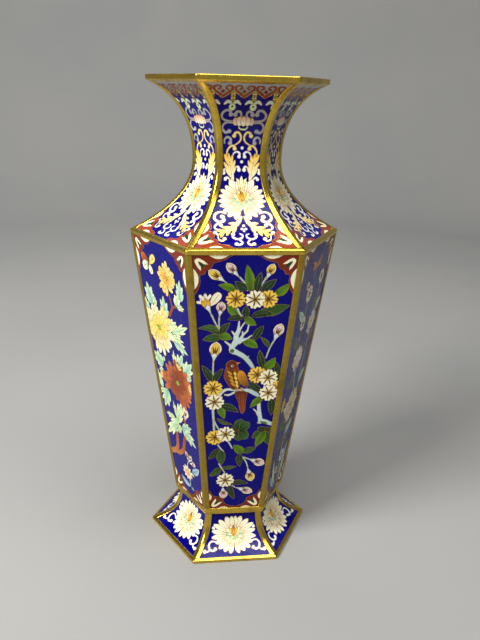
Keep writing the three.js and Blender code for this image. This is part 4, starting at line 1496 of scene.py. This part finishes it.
def bare_copper():
    """Aged copper, brown with darker and redder patches."""
    shader = Shader("aged_copper")
    aged = shader.steps(shader.noise(40, 5), 0.35, 0.7)
    shade = shader.mix(aged, colour(168, 100, 66), colour(84, 54, 40))
    rough = shader.steps(aged, 0, 1, 0.38, 0.62)
    normal = shader.bump(aged, 0.0004, 0.3)
    return shader.set(Base_Color=shade, Metallic=1.0, Roughness=rough, Normal=normal)


def hidden_copper():
    """The plain finish of the wall plates, which enamel, brass and lining cover on every side."""
    return Shader("plate_copper").set(Base_Color=colour(184, 112, 74), Metallic=1.0, Roughness=0.45)


# ---------------------------------------------------------------- brasswork

def brasswork():
    """The ribs and bars over the corners, and the four bands that go round the vase."""
    # The second brass is a darker copy for the body's bars: painted shade on the upright bars.
    brass, shaded_brass = gilt_brass("gilt_brass"), gilt_brass("shaded_brass", 0.5)
    pieces = []
    runs = (
        ("neck_rib", "gilt_rib", neck_wall, SHOULDER_FLANGE, neck_wall.length - LIP_FLANGE, 90),
        ("body_bar", "gilt_bar", body_wall, WAIST_BAND, body_wall.length - SHOULDER_FLANGE, 120),
        ("foot_rib", "gilt_foot_rib", foot_wall, FOOT_FLANGE, foot_wall.length - JOINT, 40),
    )
    for node, title, wall, low, high, steps in runs:
        for corner, corner_name in enumerate(CORNERS):
            name = f"{title}_{corner_name}"
            # Painted shade: the body's bars take the darker copy of the brass.
            metal = shaded_brass if wall is body_wall else brass
            piece = corner_strip(name, wall, low + JOINT, high - JOINT, corner, steps, metal, len(pieces))
            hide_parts(f"{node}_{corner_name}")
            pieces.append(piece)
    for node, section, corner_radius in (
        ("rim_lip", rim_section(), 1.6),
        ("shoulder_band", shoulder_section(), 1.4),
        ("waist_band", waist_section(), 1.2),
        ("foot_band", foot_band_section(), 1.6),
    ):
        piece = hex_ring("gilt_" + node, section, corner_radius, brass, side_steps=30,
                         uneven=BAND_UNEVENNESS, seed=len(pieces))
        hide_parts(node)
        pieces.append(piece)


def rim_section():
    """The flat-topped lip, closed off square to the wall on its inner side."""
    edge_x, edge_z = neck_wall.section(neck_wall.length)
    under_x, under_z = neck_wall.section(neck_wall.length - LIP_FLANGE)
    deep_x, deep_z = neck_wall.section(neck_wall.length - LIP_FLANGE, 1)
    climb = (HEIGHT - under_z) / (deep_z - under_z)
    inner_x = under_x + (deep_x - under_x) * climb
    return rounded([
        (edge_x, edge_z, 0.5),
        (edge_x, HEIGHT, 0.7),
        (inner_x, HEIGHT, 0.8),
        (under_x, under_z, 0.15),
    ])


def mitre(depth):
    """How far below the shoulder two layers at a depth meet, along either wall."""
    body_turn, neck_turn = body_wall.slope[-1], neck_wall.slope[0]
    bend = math.atan2(neck_turn[1], neck_turn[0]) - math.atan2(body_turn[1], body_turn[0])
    return depth * math.tan(bend / 2)


def shoulder_section():
    """The shoulder band, bent over the edge between the body and the neck."""
    body_end = body_wall.length - SHOULDER_FLANGE
    return rounded([
        (*body_wall.section(body_end), 0.35),
        (*body_wall.section(body_wall.length), 0.7),
        (*neck_wall.section(SHOULDER_FLANGE), 0.35),
        (*neck_wall.section(SHOULDER_FLANGE, BRASS_DEPTH), 0),
        (*body_wall.section(body_wall.length - mitre(BRASS_DEPTH), BRASS_DEPTH), 0),
        (*body_wall.section(body_end, BRASS_DEPTH), 0),
    ])


def waist_section():
    """The waist band, with the inward shelf that carries the floor."""
    shelf_height, shelf_face = 0.8, 28
    _, waist = WAIST
    inner_x, _ = body_wall.section(shelf_height, BRASS_DEPTH)
    return rounded([
        (*body_wall.section(0), 0.5),
        (*body_wall.section(WAIST_BAND), 0.4),
        (*body_wall.section(WAIST_BAND, BRASS_DEPTH), 0),
        (inner_x, waist + shelf_height, 0),
        (shelf_face, waist + shelf_height, 0.3),
        (shelf_face, waist, 0.3),
    ])


def foot_band_section():
    """The foot's edge, from the floor up over the lower end of the foot's wall."""
    edge_x, edge_z = foot_wall.section(0)
    inner_x, inner_z = foot_wall.section(FOOT_FLANGE, COPPER_BACK)
    return rounded([
        (edge_x, 0, 0.4),
        (edge_x, edge_z, 0.5),
        (*foot_wall.section(FOOT_FLANGE), 0.3),
        (inner_x, inner_z, 0),
        (inner_x, 0, 0.3),
    ])


# ---------------------------------------------------------------- inside

# The thickness of the floor's enamel, and the radius at which the cup's section starts.
FLOOR_ENAMEL = 0.7
AXIS_HOLE = 0.5


def body_lining_section():
    """The cup's section, from the axis across the floor, up to the shoulder and back down outside."""
    floor = lowest("body_lining").z
    floor_top = floor + FLOOR_ENAMEL
    (_, waist), (_, shoulder) = WAIST, SHOULDER
    rise = body_wall.length / (shoulder - waist)
    top = body_wall.length - (mitre(LINING_DEPTH) + SEAM)
    section = [complex(AXIS_HOLE, floor_top)]
    section += [complex(body_wall.section((floor_top - waist) * rise, LINING_DEPTH)[0], floor_top)]
    section += [complex(*body_wall.section(top, depth)) for depth in (LINING_DEPTH, LINING_BACK)]
    section += [complex(body_wall.section((floor - waist) * rise, LINING_BACK)[0], floor)]
    section += [complex(AXIS_HOLE, floor)]
    return np.array(section)[::-1]


def neck_lining_section():
    """The sleeve's section, up its outer side and back down its inner side."""
    stations = np.linspace(mitre(LINING_DEPTH) + SEAM, neck_wall.length - LIP_FLANGE - JOINT, 60)
    outside = [complex(*neck_wall.section(s, LINING_BACK)) for s in stations]
    inside_line = [complex(*neck_wall.section(s, LINING_DEPTH)) for s in stations[::-1]]
    return np.array(outside + inside_line)


def linings():
    """The enamelled inside: a cup for the body with its floor, and a sleeve for the neck."""
    lining = counter_enamel("inner_enamel")
    cup = hex_ring("body_inner_enamel", body_lining_section(), 0.4, lining, closed=False)
    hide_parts("body_lining")
    sleeve = hex_ring("neck_inner_enamel", neck_lining_section(), 1.5, lining)
    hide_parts("neck_lining")


def set_material(node, material):
    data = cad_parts[node].data
    data.materials.clear()
    data.materials.append(material)


def hidden_parts():
    """Materials for the CAD parts that stay: the copper plates, the floor, and the foot's inside."""
    plate = hidden_copper()
    for face in FACES:
        set_material(f"neck_plate_{face}", plate)
        set_material(f"body_plate_{face}", plate)
    aged = bare_copper()
    set_material("floor_plate", aged)
    set_material("foot_skirt", aged)
    set_material("underside_enamel", counter_enamel("underside_enamel_glaze"))


# ---------------------------------------------------------------- stage

# The round floor, in metres: it lies flat, sweeps up and ends in a wall.
FLOOR_HUB, FLOOR_MIDDLE, FLOOR_REACH = 0.02, 0.3, 1.1
FLOOR_BEND = 0.5
WALL_TOP = 1.8
FLOOR_TURNS = 96

# What the lights look at, in metres, and their tints.
VASE_MIDDLE = (0, 0, 0.15)
BACK_WALL = (0.2, 1.6, 0.4)
WARM, SOFT_WARM, WHITE_LIGHT, COOL = (1, 0.97, 0.92), (1, 0.98, 0.95), (1, 1, 1), (0.92, 0.95, 1)
ROOM_TINT = (0.86, 0.92, 1, 1)


def studio_floor():
    """A round pale floor that sweeps up into a wall, with a faint cloudiness."""
    line = [(FLOOR_HUB, 0.0), (FLOOR_MIDDLE, 0.0)]
    line += [(FLOOR_REACH + FLOOR_BEND * math.sin(a), FLOOR_BEND * (1 - math.cos(a)))
             for a in np.linspace(0, math.pi / 2, 24)]
    line.append((FLOOR_REACH + FLOOR_BEND, WALL_TOP))
    angles = np.linspace(0, math.tau, FLOOR_TURNS, endpoint=False)
    points = [(0, 0, 0)] + [(x * math.cos(a), x * math.sin(a), z) for x, z in line for a in angles]
    quads = (grid_faces(len(line), FLOOR_TURNS, False, True) + 1).tolist()
    hub = [(0, 1 + i, 1 + (i + 1) % FLOOR_TURNS) for i in range(FLOOR_TURNS)]
    mesh = bpy.data.meshes.new("studio_floor")
    mesh.from_pydata(points, [], hub + quads)
    mesh.polygons.foreach_set("use_smooth", np.ones(len(mesh.polygons), bool))
    floor = bpy.data.objects.new("studio_floor", mesh)
    bpy.context.scene.collection.objects.link(floor)
    shader = Shader("pale_floor")
    cloudy = shader.steps(shader.noise(3, 3), 0.3, 0.7)
    shade = shader.mix(cloudy, colour(152, 152, 151), colour(146, 147, 147))
    mesh.materials.append(shader.set(Base_Color=shade, Roughness=0.85))


def soft_light(name, spot, target, size, power, tint):
    """A square area light, in metres and watts, turned towards its target."""
    lamp = bpy.data.lights.new(name, "AREA")
    lamp.size, lamp.energy, lamp.color = size, power, tint
    lamp_object = bpy.data.objects.new(name, lamp)
    lamp_object.location = spot
    aim = Vector(target) - Vector(spot)
    lamp_object.rotation_euler = aim.to_track_quat("-Z", "Y").to_euler()
    bpy.context.scene.collection.objects.link(lamp_object)


def studio_light():
    """A dim even room, and soft lights of which the strongest stands above on the left."""
    world = bpy.data.worlds.new("soft_room")
    world.use_nodes = True
    background = world.node_tree.nodes["Background"]
    background.inputs["Color"].default_value = ROOM_TINT
    background.inputs["Strength"].default_value = 0.05
    bpy.context.scene.world = world
    bpy.context.scene.view_settings.view_transform = "Standard"
    soft_light("key_light", (-0.85, -0.5, 0.95), VASE_MIDDLE, size=0.5, power=26, tint=WARM)
    soft_light("top_light", (0.15, -0.25, 1.25), VASE_MIDDLE, size=0.6, power=10, tint=SOFT_WARM)
    soft_light("fill_light", (0.1, -1.0, 0.6), VASE_MIDDLE, size=0.7, power=0.3, tint=COOL)
    soft_light("wall_light", (-0.3, 0.9, 1.3), BACK_WALL, size=0.6, power=6, tint=WHITE_LIGHT)


def camera():
    """The photographer's place: in front, a little left, and looking down on the vase."""
    spot = (-0.0419, -0.3811, 0.2976)
    pan, tilt, roll = math.radians(6.93), math.radians(20.33), math.radians(1.62)
    eye = bpy.data.cameras.new("camera")
    eye.lens, eye.sensor_width, eye.clip_start = 34.875, 36, 0.01
    holder = bpy.data.objects.new("camera", eye)
    holder.location = spot
    aim = Vector((math.sin(pan), math.cos(pan), -math.tan(tilt)))
    look = aim.to_track_quat("-Z", "Y").to_matrix().to_4x4()
    holder.rotation_euler = (look @ look.Rotation(roll, 4, "Z")).to_euler()
    bpy.context.scene.collection.objects.link(holder)
    bpy.context.scene.camera = holder


# ---------------------------------------------------------------- the vase

def enamel_panels():
    """The eighteen panels: one drawing for the neck, one for the foot, three for the body."""
    wire = gilt_wire()
    body_drawings = (bird_panel(), pond_panel(), peony_panel()) * 2
    neck, foot = arrange(neck_drawing()), arrange(foot_drawing())
    patches = {}
    for face, face_name in enumerate(FACES):
        drawing = body_drawings[face]
        if drawing.title not in patches:
            patches[drawing.title] = arrange(drawing)
        for part, wall, patch in (
            ("neck", neck_wall, neck),
            ("body", body_wall, patches[drawing.title]),
            ("foot", foot_wall, foot),
        ):
            # The neck and foot get more painted sheen than the body.
            glaze = enamel(f"{part}_enamel_{face_name}", BODY_PAINTED_SHEEN if part == "body" else NECK_PAINTED_SHEEN)
            piece = panel(f"{part}_cloisonne_{face_name}", patch, wall, face, glaze, wire)
            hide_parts(f"{part}_panel_{face_name}")


enamel_panels()
brasswork()
linings()
hidden_parts()
studio_floor()
studio_light()
camera()
